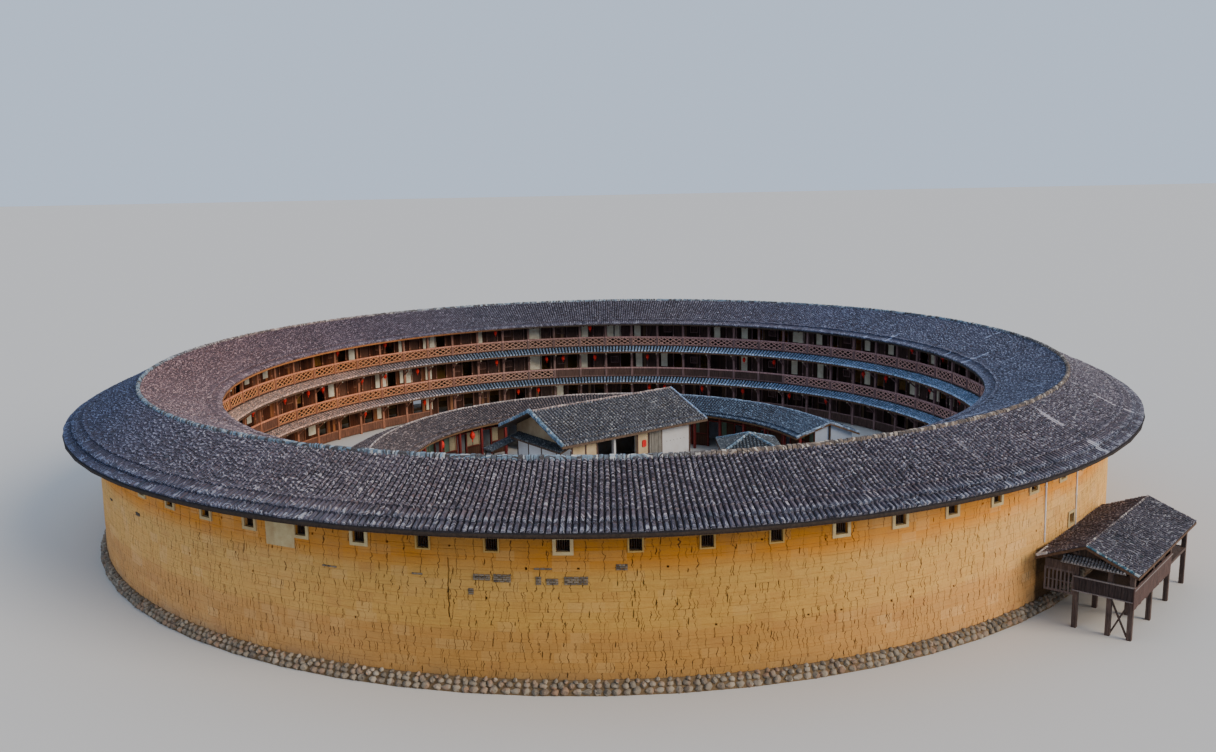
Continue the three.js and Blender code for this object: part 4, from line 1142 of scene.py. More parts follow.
# Main ring roof
# Half-round clay tiles lie over pans on two slopes, 12 rows to a bay, with two thicker courses above the
# outer eave and one above the inner. Rafters show under both eaves, and a board runs below the outer tiles'
# ends. One tile is copied in random lengths into 34 rows, and these are repeated on the CAD slabs.
RIDGE_RADIUS = 13.85
RIDGE_TOP = 4.4
OUTER_EAVE = (15.73, 3.4917)
INNER_EAVE = (11.705, 3.6254)
ROOF_THICKNESS = 0.11
EAVE_THICKNESS = 0.05
ROWS_IN_BAY = 12
ROWS_SHAPED = 34
RAFTERS_IN_BAY = 4
RAFTER_DEG = BAY_DEG / RAFTERS_IN_BAY
RAFTER_DROP = 0.046
OUTER_RAFTER = ((14.98, -0.022, 0), (15.665, 0.022, 0.04))
INNER_RAFTER = ((11.73, -0.022, 0), (12.78, 0.022, 0.04))
EAVE_BOARD_RADII = (15.655, 15.695)
EAVE_BOARD_HEIGHTS = (3.362, 3.428)
OUTER_LIPS = (0.567, 0.257)
INNER_LIPS = (0.33,)
TILE_SEED = 5
TILE_WIDTH = 0.087
TILE_HEIGHT = 0.033
COURSE = 0.105
LONG_COURSE = 0.31
TILE_LAP = 0.012
LIP_TILE_HEIGHT = 1.9
EAVE_TILE_HEIGHT = 1.4
EAVE_TILE_WIDTH = 1.18


def cover_tile():
    """One unit long down the slope, with a low narrow top end and a high wide bottom end."""
    bpy.ops.mesh.primitive_cylinder_add(vertices=6, radius=0.5, depth=1, rotation=(0, math.pi / 2, 0),
                                        location=(0.5, 0, 0))
    tile = settle(named("cover_tile"))
    with editing(tile):
        cut_foot(0)
        bpy.ops.mesh.select_all(action="SELECT")
        bpy.ops.transform.resize(value=(1, TILE_WIDTH, TILE_HEIGHT / 0.433), center_override=(0, 0, 0))
        pick("verts", lambda place: place.x < 0.5)
        bpy.ops.transform.resize(value=(1, 0.84, 0.62), center_override=(0, 0, 0))
        pick("verts", lambda place: place.x > 0.5 and place.z > 0.01)
        bpy.ops.transform.translate(value=(0, 0, 0.009))
        pick("verts", lambda place: place.z < 0.005)
        bpy.ops.transform.translate(value=(0, 0, -0.008))
    tile.data.attributes.new("tone", "FLOAT", "POINT")
    along = tile.data.attributes.new("along", "FLOAT", "POINT")
    along.data.foreach_set("value", [vertex.co.x for vertex in tile.data.vertices])
    return tile


def slope_frame(top, low):
    """Axes of a slope that falls from one (distance, height) to another: x down it, z away from it."""
    fall = Vector((low[0] - top[0], 0, low[1] - top[1]))
    x_axis = fall.normalized()
    z_axis = Vector((-x_axis.z, 0, x_axis.x)) * (1 if fall.x > 0 else -1)
    y_axis = z_axis.cross(x_axis)
    axes = Matrix((x_axis, y_axis, z_axis)).transposed().to_4x4()
    return shift(top[0], 0, top[1]) @ axes, fall.length


def tile_rows(name, tile, places, top, low, draw, lips=(), starts=None, course=COURSE):
    """Rows of tiles down one slope. Each place is a row's matrix, and each lip is how far above the eave a
    thick course ends."""
    slope, length = slope_frame(top, low)
    tiles = []
    for number, place in enumerate(places):
        first = starts[number] * length if starts else 0.0
        stops = [first, *(length - lip + draw.uniform(-0.018, 0.018) for lip in lips), length]
        for run, (start, stop) in enumerate(zip(stops, stops[1:])):
            count = max(1, round((stop - start) / (LONG_COURSE if run else course)))
            marks = [draw.uniform(0.6, 1.4) for _ in range(count)]
            reach = start
            for mark_number, mark in enumerate(marks):
                step = mark / sum(marks) * (stop - start)
                last = mark_number == count - 1
                at_lip = stop < length
                reached = step + (TILE_LAP if at_lip or not last else 0)
                width = EAVE_TILE_WIDTH if last else draw.uniform(0.94, 1.06)
                if last:
                    height = LIP_TILE_HEIGHT if at_lip else EAVE_TILE_HEIGHT
                else:
                    height = draw.uniform(0.85, 1.2)
                down = shift(reach, draw.uniform(-0.003, 0.003), 0)
                piece = copy_of(tile, place @ slope @ down @ Matrix.Diagonal((reached, width, height, 1)))
                tones = [draw.random()] * len(tile.data.vertices)
                piece.data.attributes["tone"].data.foreach_set("value", tones)
                # Past the first lip the long tiles take less painted shade at their top ends.
                if run:
                    along = [max(0.2, vertex.co.x) for vertex in tile.data.vertices]
                    piece.data.attributes["along"].data.foreach_set("value", along)
                tiles.append(piece)
                reach += step
    return joined(name, tiles)


def tile_finish(name, dark, light, warm, pale, flecks, streaks=0.0):
    """Fired clay, a tone to each tile, with pale lime or lichen flecks on the lower ends of some, and
    painted shade on each tile's top end, where the tile above covers it.
    """
    finish = Finish(name, 0.75, 0.3)
    x = finish.axes()[0]
    tone = finish.mark("tone")
    along = finish.mark("along")
    sector = (finish.noise(2.4, 0.0) * 60.0).floor()
    shade = finish.scatter(tone * 91.0, sector, 1.0)
    base = finish.mix(shade * shade, dark, light)
    second = finish.scatter(tone * 57.0, sector, 2.0)
    base = finish.mix(second.ramp(0.72, 1.0) * 0.75, base, warm)
    weather = finish.noise(0.5, 4.0)
    base = finish.mix(weather.ramp(0.45, 0.7) * 0.4, base, light)
    third = finish.scatter(tone * 33.0, sector, 3.0)
    base = finish.mix((1.0 - third.ramp(0.0, 0.25)) * 0.5, base, rgb(0.08, 0.11, 0.12))
    whole = finish.scatter(tone * 23.0, sector, 4.0).above(0.94)
    base = finish.mix(whole * 0.7, base, pale)
    lip = along.ramp(0.62, 0.7) * third.above(1 - flecks)
    base = finish.mix(lip * 0.85, base, finish.mix(second, pale, light))
    grain = finish.noise(42.0, 4.0)
    base = finish.mix(grain.ramp(0.5, 0.8) * 0.35, base, dark)
    # Painted shade: each tile's top end, under the tile above, is painted nearly black.
    base = finish.mix((1.0 - along.ramp(0.0, 0.3)) * 0.8, base, rgb(0.01, 0.009, 0.01))
    if streaks:
        row = (ring_angle(finish) * (BAYS * ROWS_IN_BAY)).floor()
        chosen = finish.scatter(row, 5.0, 5.0).above(1 - streaks)
        dashes = finish.noise(1.4, 2.0).above(0.54)
        base = finish.mix(chosen * dashes * x.ramp(6.5, 9.0) * 0.8, base, pale)
    return finish.finished(base, grain, 0.005)


def pan_finish(name, pan, edge):
    """The slab under the tiles: pans above, painted near black as painted shade between the tile rows,
    boards at the eaves, and boards underneath, painted nearly black as painted shade.
    """
    finish = Finish(name, 0.85)
    grain = finish.noise(16.0, 4.0)
    facing_up = finish.axes(finish.add("ShaderNodeNewGeometry", output=1))[2]
    boards = finish.mix(grain.ramp(0.3, 0.7), edge, rgb(*(value * 0.45 for value in edge[:3])))
    # Painted shade: faces that look down are painted nearly black.
    boards = finish.mix((0.0 - facing_up).above(0.5) * 0.7, boards, rgb(0.014, 0.01, 0.008))
    pans = finish.mix(grain.ramp(0.3, 0.7), pan, rgb(*(value * 0.4 for value in pan[:3])))
    return finish.finished(finish.mix(facing_up.above(0.5), boards, pans), grain, 0.008)


# Painted shade: the eave boards are nearly black, partly as painted shade under the tiles' ends.
roof_pans = pan_finish("roof_pans", rgb(0.018, 0.015, 0.018), rgb(0.04, 0.027, 0.02))
# Painted sunlight: the inner eave's edge is painted bright orange on the sunlit left.
sunlit_inner_eave_edge = sun_side(roof_pans) * (1.0 - ring_radius(roof_pans).ramp(11.72, 11.78))
tinted(roof_pans, (sunlit_inner_eave_edge, rgb(12.0, 6.5, 2.5)))
cover(roof_pans, "ring_roof_1", "ring_roof_2", "ring_roof_3", "ring_roof_4")


def ring_tile_finish():
    """Painted light: bluer on the near left's outer slope as painted shade, warm as painted sunlight where
    the inner slope faces the sun, and blue as painted shade on the inner slope's right. The eave course is
    bluer than the rest."""
    finish = tile_finish("ring_tiles", rgb(0.032, 0.027, 0.036), rgb(0.15, 0.133, 0.162),
                         rgb(0.18, 0.12, 0.11), rgb(0.56, 0.54, 0.54), 0.31, streaks=0.03)
    x, y, _ = finish.axes()
    radius = ring_radius(finish)
    outside = radius.ramp(13.8, 13.9)
    back = y.ramp(2.0, 9.0)
    left, right = 1.0 - x.ramp(-13.0, -5.0), x.ramp(3.0, 10.0)
    # Painted light: shade blue on the left's outer slope and the inner right, sunlight warm on the inner
    # left.
    return tinted(finish, (left * outside, rgb(0.27, 0.40, 0.70)),
                  (left * (1.0 - outside), rgb(1.14, 0.80, 0.74)),
                  (right * (1.0 - outside), rgb(0.62, 0.80, 1.08)),
                  (radius.ramp(15.44, 15.48), rgb(0.82, 0.90, 0.96)),
                  (back, rgb(0.80, 0.82, 0.98)), (1.0 - back, rgb(0.93, 0.90, 0.97)))


ring_tiles = ring_tile_finish()

tile = cover_tile()
draw = random.Random(TILE_SEED)
row_deg = BAY_DEG / ROWS_IN_BAY
places = [turn(FIRST_POST_DEG + (row + 0.5) * row_deg) for row in range(ROWS_SHAPED)]
ridge = (RIDGE_RADIUS, RIDGE_TOP)
outer_rows = tile_rows("outer_rows", tile, places, ridge, OUTER_EAVE, draw, OUTER_LIPS)
inner_rows = tile_rows("inner_rows", tile, places, ridge, INNER_EAVE, draw, INNER_LIPS)
slopes = around(joined("slopes", [outer_rows, inner_rows]), QUARTER_BAYS * ROWS_IN_BAY // ROWS_SHAPED,
                ROWS_SHAPED * row_deg)
roof_clouds = clouds("roof_unevenness", 0.55, 2)
for quarter in range(4):
    part = unevenness(copy_of(slopes, turn(90 * quarter)), roof_clouds, 0.028)
    show(f"ring_tiles_{quarter + 1}", [part], [ring_tiles])
clear_away(slopes)


def lean(part, top, low, drop):
    """Tips a level part to lie under a slope."""
    rise = (top[1] - low[1]) / (top[0] - low[0])
    for vertex in part.data.vertices:
        vertex.co.z += low[1] - drop + (vertex.co.x - low[0]) * rise
    return part


under_ridge = (RIDGE_RADIUS, RIDGE_TOP - ROOF_THICKNESS)
rafters = [lean(block("rafter", *corners), under_ridge, (eave[0], eave[1] - EAVE_THICKNESS), RAFTER_DROP)
           for corners, eave in ((OUTER_RAFTER, OUTER_EAVE), (INNER_RAFTER, INNER_EAVE))]
rafters = moved(joined("rafters", rafters), turn(FIRST_POST_DEG + RAFTER_DEG / 2))
around(rafters, BAYS * RAFTERS_IN_BAY, RAFTER_DEG)
show("rafters", [rafters], [dark_timber])
eave_boards = [arc_bar("eave_board", EAVE_BOARD_RADII, EAVE_BOARD_HEIGHTS, FIRST_POST_DEG + 90 * quarter,
                       90, 2 * QUARTER_BAYS) for quarter in range(4)]
show("eave_boards", eave_boards, [dark_timber])


# Ridge cap
# The ridge is closed by a course of tiles set crosswise in lime mortar, patched many times, so its blocks
# vary in tone. Round the ring it's painted cool on the near left as painted shade, and warm on the near
# right and pinkish at the back left as painted sunlight.
CAP_TILES_SHAPED = 34
CAP_SEED = 17


def cap_finish(name, cool, dark, warm=None, pale=0.16):
    """Lime and tile in blocks, cool on the near left as painted shade, warm on the near right and pinkish at
    the back left as painted sunlight.
    """
    finish = Finish(name, 0.9, 0.2)
    x, y, _ = finish.axes()
    tone = finish.mark("tone")
    sector = (finish.noise(1.4, 0.0) * 40.0).floor()
    shade = finish.scatter(tone * 71.0, sector, 1.0)
    # Painted light: warm as painted sunlight on the near right, and pinkish as painted sunlight at the back
    # left.
    side = finish.mix(x.ramp(0.3, 2.3) * (1.0 - y.ramp(-2.0, 4.0)), cool, warm or cool)
    side = finish.mix((1.0 - x.ramp(-11.0, -6.0)) * y.ramp(-2.0, 4.0) * 0.8, side, rgb(0.40, 0.25, 0.20))
    base = finish.mix(shade.ramp(0.25, 0.8), dark, side)
    base = finish.mix(shade.ramp(1.0 - pale, 1.0) * 0.8, base, rgb(0.66, 0.64, 0.60))
    grain = finish.noise(26.0, 4.0)
    base = finish.mix(grain.ramp(0.45, 0.8) * 0.5, base, dark)
    return finish.finished(base, grain, 0.01)


ridge_mortar = cap_finish("ridge_mortar", rgb(0.22, 0.33, 0.44), rgb(0.07, 0.062, 0.062),
                          rgb(0.21, 0.16, 0.125), 0.2)


def cap_tile():
    """A low rounded block across the ridge, one unit long along it."""
    bpy.ops.mesh.primitive_cylinder_add(vertices=8, radius=0.5, depth=1, rotation=(math.pi / 2, 0, 0))
    part = settle(named("cap_tile"))
    with editing(part):
        cut_foot(0)
        bpy.ops.mesh.select_all(action="SELECT")
        bpy.ops.transform.resize(value=(0.13, 1, 0.17), center_override=(0, 0, 0))
        pick("verts", lambda place: place.z < 0.005)
        bpy.ops.transform.translate(value=(0, 0, -0.045))
    part.data.attributes.new("tone", "FLOAT", "POINT")
    return part


def ridge_tiles(part, length, count, draw):
    """Cap tiles end to end along y, from 0 to a length."""
    tiles = []
    for number in range(count):
        step = length / count
        place = shift(draw.uniform(-0.006, 0.006), (number + 0.5) * step, draw.uniform(-0.01, 0.0))
        tilt = Matrix.Rotation(draw.uniform(-0.06, 0.06), 4, "X")
        size = Matrix.Diagonal((draw.uniform(0.85, 1.1), step * draw.uniform(0.8, 1.02),
                                draw.uniform(0.78, 1.0), 1))
        tiles.append(copy_of(part, place @ tilt @ size))
        tones = [draw.random()] * len(part.data.vertices)
        tiles[-1].data.attributes["tone"].data.foreach_set("value", tones)
    return tiles


draw = random.Random(CAP_SEED)
cap = cap_tile()
cap_step = 2 * RIDGE_RADIUS * math.sin(math.radians(row_deg / 2))
caps = []
for number, part in enumerate(ridge_tiles(cap, cap_step * CAP_TILES_SHAPED, CAP_TILES_SHAPED, draw)):
    moved(part, shift(0, -(number + 0.5) * cap_step, 0))
    caps.append(moved(part, turn(FIRST_POST_DEG + (number + 0.5) * row_deg)
                      @ shift(RIDGE_RADIUS, 0, RIDGE_TOP + 0.001)))
caps = around(joined("caps", caps), BAYS * ROWS_IN_BAY // CAP_TILES_SHAPED, CAP_TILES_SHAPED * row_deg)
show("ridge_caps", [caps], [ridge_mortar], ["ridge_cap_1", "ridge_cap_2"])


# Waist roofs
# A narrow pent roof of tiles hangs from the edge of each upper floor and throws rain clear of the gallery
# below. Its lowest course is set in pale mortar.
WAIST_TOP_RADIUS = 12.186
WAIST_EAVE_RADIUS = 11.742
WAIST_DROP = 0.165
WAIST_BELOW_FLOOR = 0.02
WAIST_ROWS_IN_BAY = 8
WAIST_ROWS_SHAPED = 16
WAIST_TILE_WIDENING = 1.05

waist_pans = pan_finish("waist_pans", rgb(0.014, 0.015, 0.018), rgb(0.12, 0.065, 0.04))
cover(waist_pans, "waist_roof_2", "waist_roof_3")


def waist_tile_finish():
    """Bluish grey tiles, painted pinkish brown as painted sunlight on the left where the low sun comes in,
    painted brighter and bluer as painted light on the right where the ring turns from the sun, and darker
    between. They are pale along the eave.
    """
    finish = tile_finish("waist_tiles", rgb(0.07, 0.12, 0.19), rgb(0.28, 0.41, 0.58), rgb(0.24, 0.27, 0.32),
                         rgb(0.62, 0.68, 0.78), 0.3)
    x = finish.axes()[0]
    edge = 1.0 - ring_radius(finish).ramp(11.77, 11.8)
    left, right = 1.0 - x.ramp(-10.0, -5.0), shade_side(finish)
    # Painted light: warm sunlight on the left, brighter and bluer on the right, darker in between.
    return tinted(finish, (left, rgb(1.95, 0.98, 0.62)), (right, rgb(1.35, 1.45, 1.6)),
                  ((1.0 - left) * (1.0 - right), rgb(0.70, 0.72, 0.76)), (edge, rgb(1.7, 1.6, 1.5)))


waist_tiles = waist_tile_finish()
draw = random.Random(TILE_SEED + 1)
step_deg = BAY_DEG / WAIST_ROWS_IN_BAY
places = [turn(FIRST_POST_DEG + (row + 0.5) * step_deg) @ Matrix.Diagonal((1, WAIST_TILE_WIDENING, 1, 1))
          for row in range(WAIST_ROWS_SHAPED)]
for number, floor_top in ((2, SECOND_FLOOR_TOP), (3, THIRD_FLOOR_TOP)):
    top = floor_top - WAIST_BELOW_FLOOR
    rows = tile_rows("waist_rows", tile, places, (WAIST_TOP_RADIUS, top),
                     (WAIST_EAVE_RADIUS, top - WAIST_DROP), draw)
    around(rows, BAYS * WAIST_ROWS_IN_BAY // WAIST_ROWS_SHAPED, WAIST_ROWS_SHAPED * step_deg)
    show(f"waist_tiles_{number}", [unevenness(rows, roof_clouds, 0.02)], [waist_tiles])


# Inner ring
# One storey of rooms stands in a horseshoe round the hall, with red columns and cream and green panels. Its
# two-slope roof is tiled, its end gables are limewashed, and its ridge and verges are bedded in pale lime.
INNER_CENTRE = (0.19, -1.575)
INNER_SPAN_DEG = (14.1, 237.9)
INNER_TURN_DEG = 15
INNER_SWEEP_DEG = 222
INNER_BAYS = 24
INNER_BAY_DEG = INNER_SWEEP_DEG / INNER_BAYS
INNER_ROWS = 250
INNER_ROWS_SHAPED = 25
INNER_RIDGE = (7.5, 1.725)
INNER_COURT_EAVE = (6.28, 1.31)
INNER_BACK_EAVE = (8.55, 1.31)
INNER_COLUMN_RADIUS = 6.45
INNER_FRONT_RADIUS = 6.95
INNER_LIPS_UP = (0.2,)
INNER_CAPS = 240
INNER_WINDOW_SIDES = (-0.42, 0.42)
INNER_SILL = (0.45, 0.475)
INNER_HEAD = (0.98, 1.0)
GABLE_POST = ((7.48, -0.05, 0), (7.54, 0.012, 1.62))
INNER_LANTERNS = 0.75
FIRST_LANTERN_BAY = 7
INNER_LANTERN_SCALE = 1.35
CAP_STEP = 0.12


def cap_line(part, start, end, draw, width=1.0):
    """Cap tiles end to end along a straight ridge, hip or verge."""
    start, end = Vector(start), Vector(end)
    run = end - start
    y_axis = run.normalized()
    x_axis = y_axis.cross(Vector((0, 0, 1))).normalized()
    axes = Matrix((x_axis, y_axis, x_axis.cross(y_axis))).transposed().to_4x4()
    place = shift(*start) @ axes @ Matrix.Diagonal((width, 1, width, 1))
    count = round(run.length / CAP_STEP)
    return [moved(piece, place) for piece in ridge_tiles(part, run.length, count, draw)]


def limewash_finish(name, wash, stain):
    """Limewashed earth, stained brown towards the ground and streaked below the eaves."""
    finish = Finish(name, 0.9, 0.15)
    z = finish.axes()[2]
    stains = finish.noise(2.6, 5.0, (1.6, 1.6, 0.8))
    low = 1.0 - z.ramp(0.1, 0.9)
    tone = finish.mix(stains.ramp(0.45, 0.8) * 0.7 * (low * 0.6 + 0.4), wash, stain)
    streak = finish.noise(3.0, 3.0, (4, 4, 0.3)).ramp(0.6, 0.85)
    tone = finish.mix(streak * 0.35, tone, rgb(0.22, 0.19, 0.16))
    grain = finish.noise(32.0, 4.0)
    tone = finish.mix(grain.ramp(0.5, 0.8) * 0.25, tone, stain)
    return finish.finished(tone, grain * 0.6 + stains * 0.4, 0.01)


def inner_front_finish():
    """Boards below, and cream, dark brown and green painted panels above, between dark stiles."""
    finish = Finish("inner_fronts", 0.8, 0.2)
    place = finish.turned(INNER_CENTRE, INNER_TURN_DEG)
    x, y, z = finish.axes(place)
    angle = y.maths("ARCTAN2", y, x) / (2 * math.pi)
    across = angle * (360 / INNER_SWEEP_DEG * INNER_BAYS * 4) + 400.0
    panel = across.floor()
    share = across - panel
    paint = finish.scatter(panel, 1.0, 9.0)
    tone = finish.mix(paint.above(0.3), rgb(0.34, 0.29, 0.19), rgb(0.07, 0.035, 0.02))
    tone = finish.mix(paint.above(0.8), tone, rgb(0.10, 0.15, 0.11))
    board = across * 3.0
    gap = (board - board.floor()).below(0.12)
    boards = finish.mix(gap, rgb(0.085, 0.04, 0.025), rgb(0.015, 0.01, 0.008))
    tone = finish.mix(z.below(0.42), tone, boards)
    stile = (share.below(0.1) + z.above(1.0) * z.below(1.07) + z.above(0.39) * z.below(0.45)).above(0.5)
    tone = finish.mix(stile, tone, rgb(0.06, 0.022, 0.014))
    grain = finish.noise(12.0, 4.0)
    return finish.finished(finish.mix(grain.ramp(0.45, 0.8) * 0.4, tone, rgb(0.05, 0.035, 0.025)),
                           grain * 0.5 + stile, 0.008)


limewash = limewash_finish("limewash", rgb(0.42, 0.48, 0.58), rgb(0.30, 0.27, 0.24))
red_columns = wood_finish("red_columns", rgb(0.10, 0.012, 0.012), rgb(0.24, 0.028, 0.024),
                          rgb(0.28, 0.13, 0.10), 0.55)
cover(pan_finish("inner_pans", rgb(0.022, 0.022, 0.026), rgb(0.16, 0.085, 0.04)),
      "inner_roof_1", "inner_roof_2")
cover(red_columns, "inner_columns")
cover(inner_front_finish(), "inner_room_fronts")
cover(limewash, "inner_gable_wall_1", "inner_gable_wall_2", "inner_back_wall")

draw = random.Random(TILE_SEED + 2)
row_step = (INNER_SPAN_DEG[1] - INNER_SPAN_DEG[0]) / INNER_ROWS
places = [turn(INNER_SPAN_DEG[0] + (row + 0.5) * row_step) for row in range(INNER_ROWS_SHAPED)]
inner_slopes = joined("inner_slopes", [
    tile_rows("court_rows", tile, places, INNER_RIDGE, INNER_COURT_EAVE, draw, INNER_LIPS_UP),
    tile_rows("back_rows", tile, places, INNER_RIDGE, INNER_BACK_EAVE, draw, INNER_LIPS_UP)])
around(inner_slopes, INNER_ROWS // INNER_ROWS_SHAPED, INNER_ROWS_SHAPED * row_step)
moved(inner_slopes, shift(*INNER_CENTRE, 0))


def inner_tile_finish():
    """Painted warm grey as painted sunlight on the left of the court, and blue grey as painted shade on the
    right.
    """
    finish = tile_finish("inner_tiles", rgb(0.035, 0.032, 0.04), rgb(0.15, 0.15, 0.17),
                         rgb(0.16, 0.12, 0.11), rgb(0.55, 0.53, 0.52), 0.18)
    right = finish.axes()[0].ramp(1.0, 3.5)
    # Painted light: warm sunlight on the court's left, blue shade on its right.
    return tinted(finish, (1.0 - right, rgb(0.93, 0.76, 0.72)), (right, rgb(0.44, 0.68, 1.04)))


inner_tiles = inner_tile_finish()
show("inner_tiles", [unevenness(inner_slopes, roof_clouds, 0.024)], [inner_tiles])


def inner_mortar_finish():
    """Pinkish lime on the left of the court, painted bluish as painted shade on the right."""
    finish = cap_finish("inner_mortar", rgb(0.50, 0.42, 0.40), rgb(0.20, 0.17, 0.17))
    right = finish.axes()[0].ramp(0.5, 3.0)
    # Painted shade: the lime is bluish on the right of the court.
    return tinted(finish, (right, rgb(0.62, 0.95, 1.35)))


inner_mortar = inner_mortar_finish()
inner_caps = []
for number in range(INNER_CAPS):
    azimuth = INNER_SPAN_DEG[0] + (number + 0.5) * (INNER_SPAN_DEG[1] - INNER_SPAN_DEG[0]) / INNER_CAPS
    piece = ridge_tiles(cap, CAP_STEP, 1, draw)[0]
    moved(piece, shift(0, -CAP_STEP / 2, 0))
    inner_caps.append(moved(piece, turn(azimuth) @ shift(INNER_RIDGE[0], 0, INNER_RIDGE[1])
                            @ Matrix.Diagonal((0.62, 1, 0.6, 1))))
for azimuth, inward in ((INNER_SPAN_DEG[0], 0.35), (INNER_SPAN_DEG[1], -0.35)):
    verge_angle = math.radians(azimuth + inward)
    direction = Vector((math.cos(verge_angle), math.sin(verge_angle), 0))
    for eave in (INNER_COURT_EAVE, INNER_BACK_EAVE):
        inner_caps += cap_line(cap, direction * INNER_RIDGE[0] + Vector((0, 0, INNER_RIDGE[1])),
                               direction * eave[0] + Vector((0, 0, eave[1] + 0.01)), draw, 0.7)
inner_caps = moved(joined("inner_caps", inner_caps), shift(*INNER_CENTRE, 0))
show("inner_ridge", [inner_caps], [inner_mortar])

gable_post = block("gable_post", *GABLE_POST)
eased(gable_post, 0.004)
moved(gable_post, shift(*INNER_CENTRE, 0) @ turn(INNER_TURN_DEG))
show("inner_gable_post", [gable_post], [dark_timber])

inner_rails, inner_lantern_places = [], []
inner_face = INNER_FRONT_RADIUS * math.cos(math.radians(INNER_BAY_DEG / 2)) - 0.001
for bay in range(INNER_BAYS):
    place = shift(*INNER_CENTRE, 0) @ turn(INNER_TURN_DEG + (bay + 0.5) * INNER_BAY_DEG)
    frame_place = place @ shift(inner_face, 0, 0)
    inner_rails.append(moved(door_frame_shape("inner_door_frame"), frame_place))
    for side in INNER_WINDOW_SIDES:
        for low, high in (INNER_SILL, INNER_HEAD):
            bar = block("inner_bar", (-0.016, side - 0.13, low), (0.0, side + 0.13, high))
            inner_rails.append(moved(bar, frame_place))
    if draw.random() < INNER_LANTERNS and bay >= FIRST_LANTERN_BAY:
        hang = place @ shift(INNER_COLUMN_RADIUS + 0.1, draw.uniform(-0.4, 0.4), 0.95)
        inner_lantern_places.append(hang @ Matrix.Scale(INNER_LANTERN_SCALE, 4))
show("inner_door_frames", inner_rails, [red_columns])


# Hall
# The hall stands turned in the court on a low stone platform: limewashed walls in a timber frame, a plank
# front with two wide openings, a two-slope roof and a tiled skirt across its left gable.
HALL_CENTRE = (-0.03, 0.975)
HALL_TURN_DEG = 36.4
HALL = shift(*HALL_CENTRE, 0) @ turn(HALL_TURN_DEG)
HALL_HALF_LENGTH = 2.985
HALL_RIDGE_TOP = 2.55
HALL_EAVE = (1.882, 1.745)
HALL_ROWS = 48
HALL_WALL = (2.445, 1.59)
HALL_SKIRT = ((2.447, 1.56), (2.777, 1.434))
HALL_SKIRT_REACH = 1.48
HALL_SKIRT_ROWS = 27
HALL_SKIRT_STEP = 0.1096
PEG_SPACING = 0.15
PEG_HEIGHT = 1.16
PEG_RADIUS = 0.014
FRONT_POSTS = (-2.42, -1.9, -1.45, 0.18, 0.64, 1.2, 2.42)
BACK_STUDS = (-2.42, -1.2, 0.0, 1.2, 2.42)
SKIRT_GABLE_STUDS = (-1.56, -0.75, 0.12, 0.9, 1.56)
FAR_GABLE_STUDS = (-1.56, -0.5, 0.5, 1.56)
STUD_FOOT = 0.061
STUD_PROUD = 0.012
OFF_WALL = 0.0005
HALL_PLANKS_START = 0.68
HALL_PLANK_STEP = 0.073
HALL_PLANK_WIDTH = 0.066


def in_line(part, count, step):
    """Repeats a part along x."""
    return modify(part, "ARRAY", count=count, use_relative_offset=False, use_constant_offset=True,
                  constant_offset_displace=(step, 0, 0))


def straight_slope(name, degrees, top, low, half_length, rows, shaped, draw, lips=(), widening=1.0):
    """One straight slope of tiles. The ridge lies along x, and the slope faces the given way from it."""
    step = 2 * half_length / rows
    places = [shift((row + 0.5) * step - half_length, 0, 0) @ turn(degrees)
              @ Matrix.Diagonal((1, widening, 1, 1)) for row in range(shaped)]
    return in_line(tile_rows(name, tile, places, top, low, draw, lips), rows // shaped, shaped * step)


def hall_wall_finish():
    """Cool limewash with a row of peg holes at the right of the front, painted nearly black as painted shade
    inside them. Cream panels stand at its left and in the gable over the skirt."""
    finish = Finish("hall_walls", 0.9, 0.15)
    x, y, z = finish.axes(finish.turned(HALL_CENTRE, HALL_TURN_DEG))
    stains = finish.noise(2.8, 5.0)
    tone = finish.mix(stains.ramp(0.4, 0.8) * 0.45, rgb(0.50, 0.51, 0.54), rgb(0.38, 0.35, 0.32))
    cream = (y.below(-1.5) * x.below(-1.3) + x.below(-2.4) * z.above(1.5)
             + y.below(-1.5) * x.above(0.1) * x.below(0.66)).above(0.5)
    panels = finish.mix(stains.ramp(0.4, 0.8), rgb(0.46, 0.37, 0.24), rgb(0.33, 0.24, 0.14))
    tone = finish.mix(cream, tone, panels)
    low = (1.0 - z.ramp(0.15, 1.0)) * stains.ramp(0.35, 0.6)
    tone = finish.mix(low * 0.6, tone, rgb(0.34, 0.24, 0.16))
    tone = finish.mix(x.below(-2.4) * z.below(1.5) * 0.85, tone, rgb(0.84, 0.89, 0.95))
    streak = finish.noise(4.0, 3.0, (4, 4, 0.4)).ramp(0.62, 0.82)
    tone = finish.mix(streak * 0.4, tone, rgb(0.20, 0.17, 0.15))
    along = x / PEG_SPACING
    beside = (along - along.floor() - 0.5) * PEG_SPACING
    over = z - PEG_HEIGHT
    hole = (beside * beside + over * over).below(PEG_RADIUS ** 2)
    # Painted shade: the peg holes are painted nearly black.
    tone = finish.mix(hole * y.below(-1.5) * x.above(1.35) * x.below(2.3), tone, rgb(0.03, 0.026, 0.024))
    grain = finish.noise(34.0, 4.0)
    return finish.finished(finish.mix(grain.ramp(0.5, 0.8) * 0.2, tone, rgb(0.30, 0.25, 0.20)),
                           grain * 0.6 + stains * 0.4, 0.01)


cover(hall_wall_finish(), "hall_walls")
cover(dressed_stone, "hall_platform")
cover(pan_finish("hall_pans", rgb(0.025, 0.022, 0.022), rgb(0.13, 0.085, 0.06)),
      "hall_roof", "hall_gable_skirt")

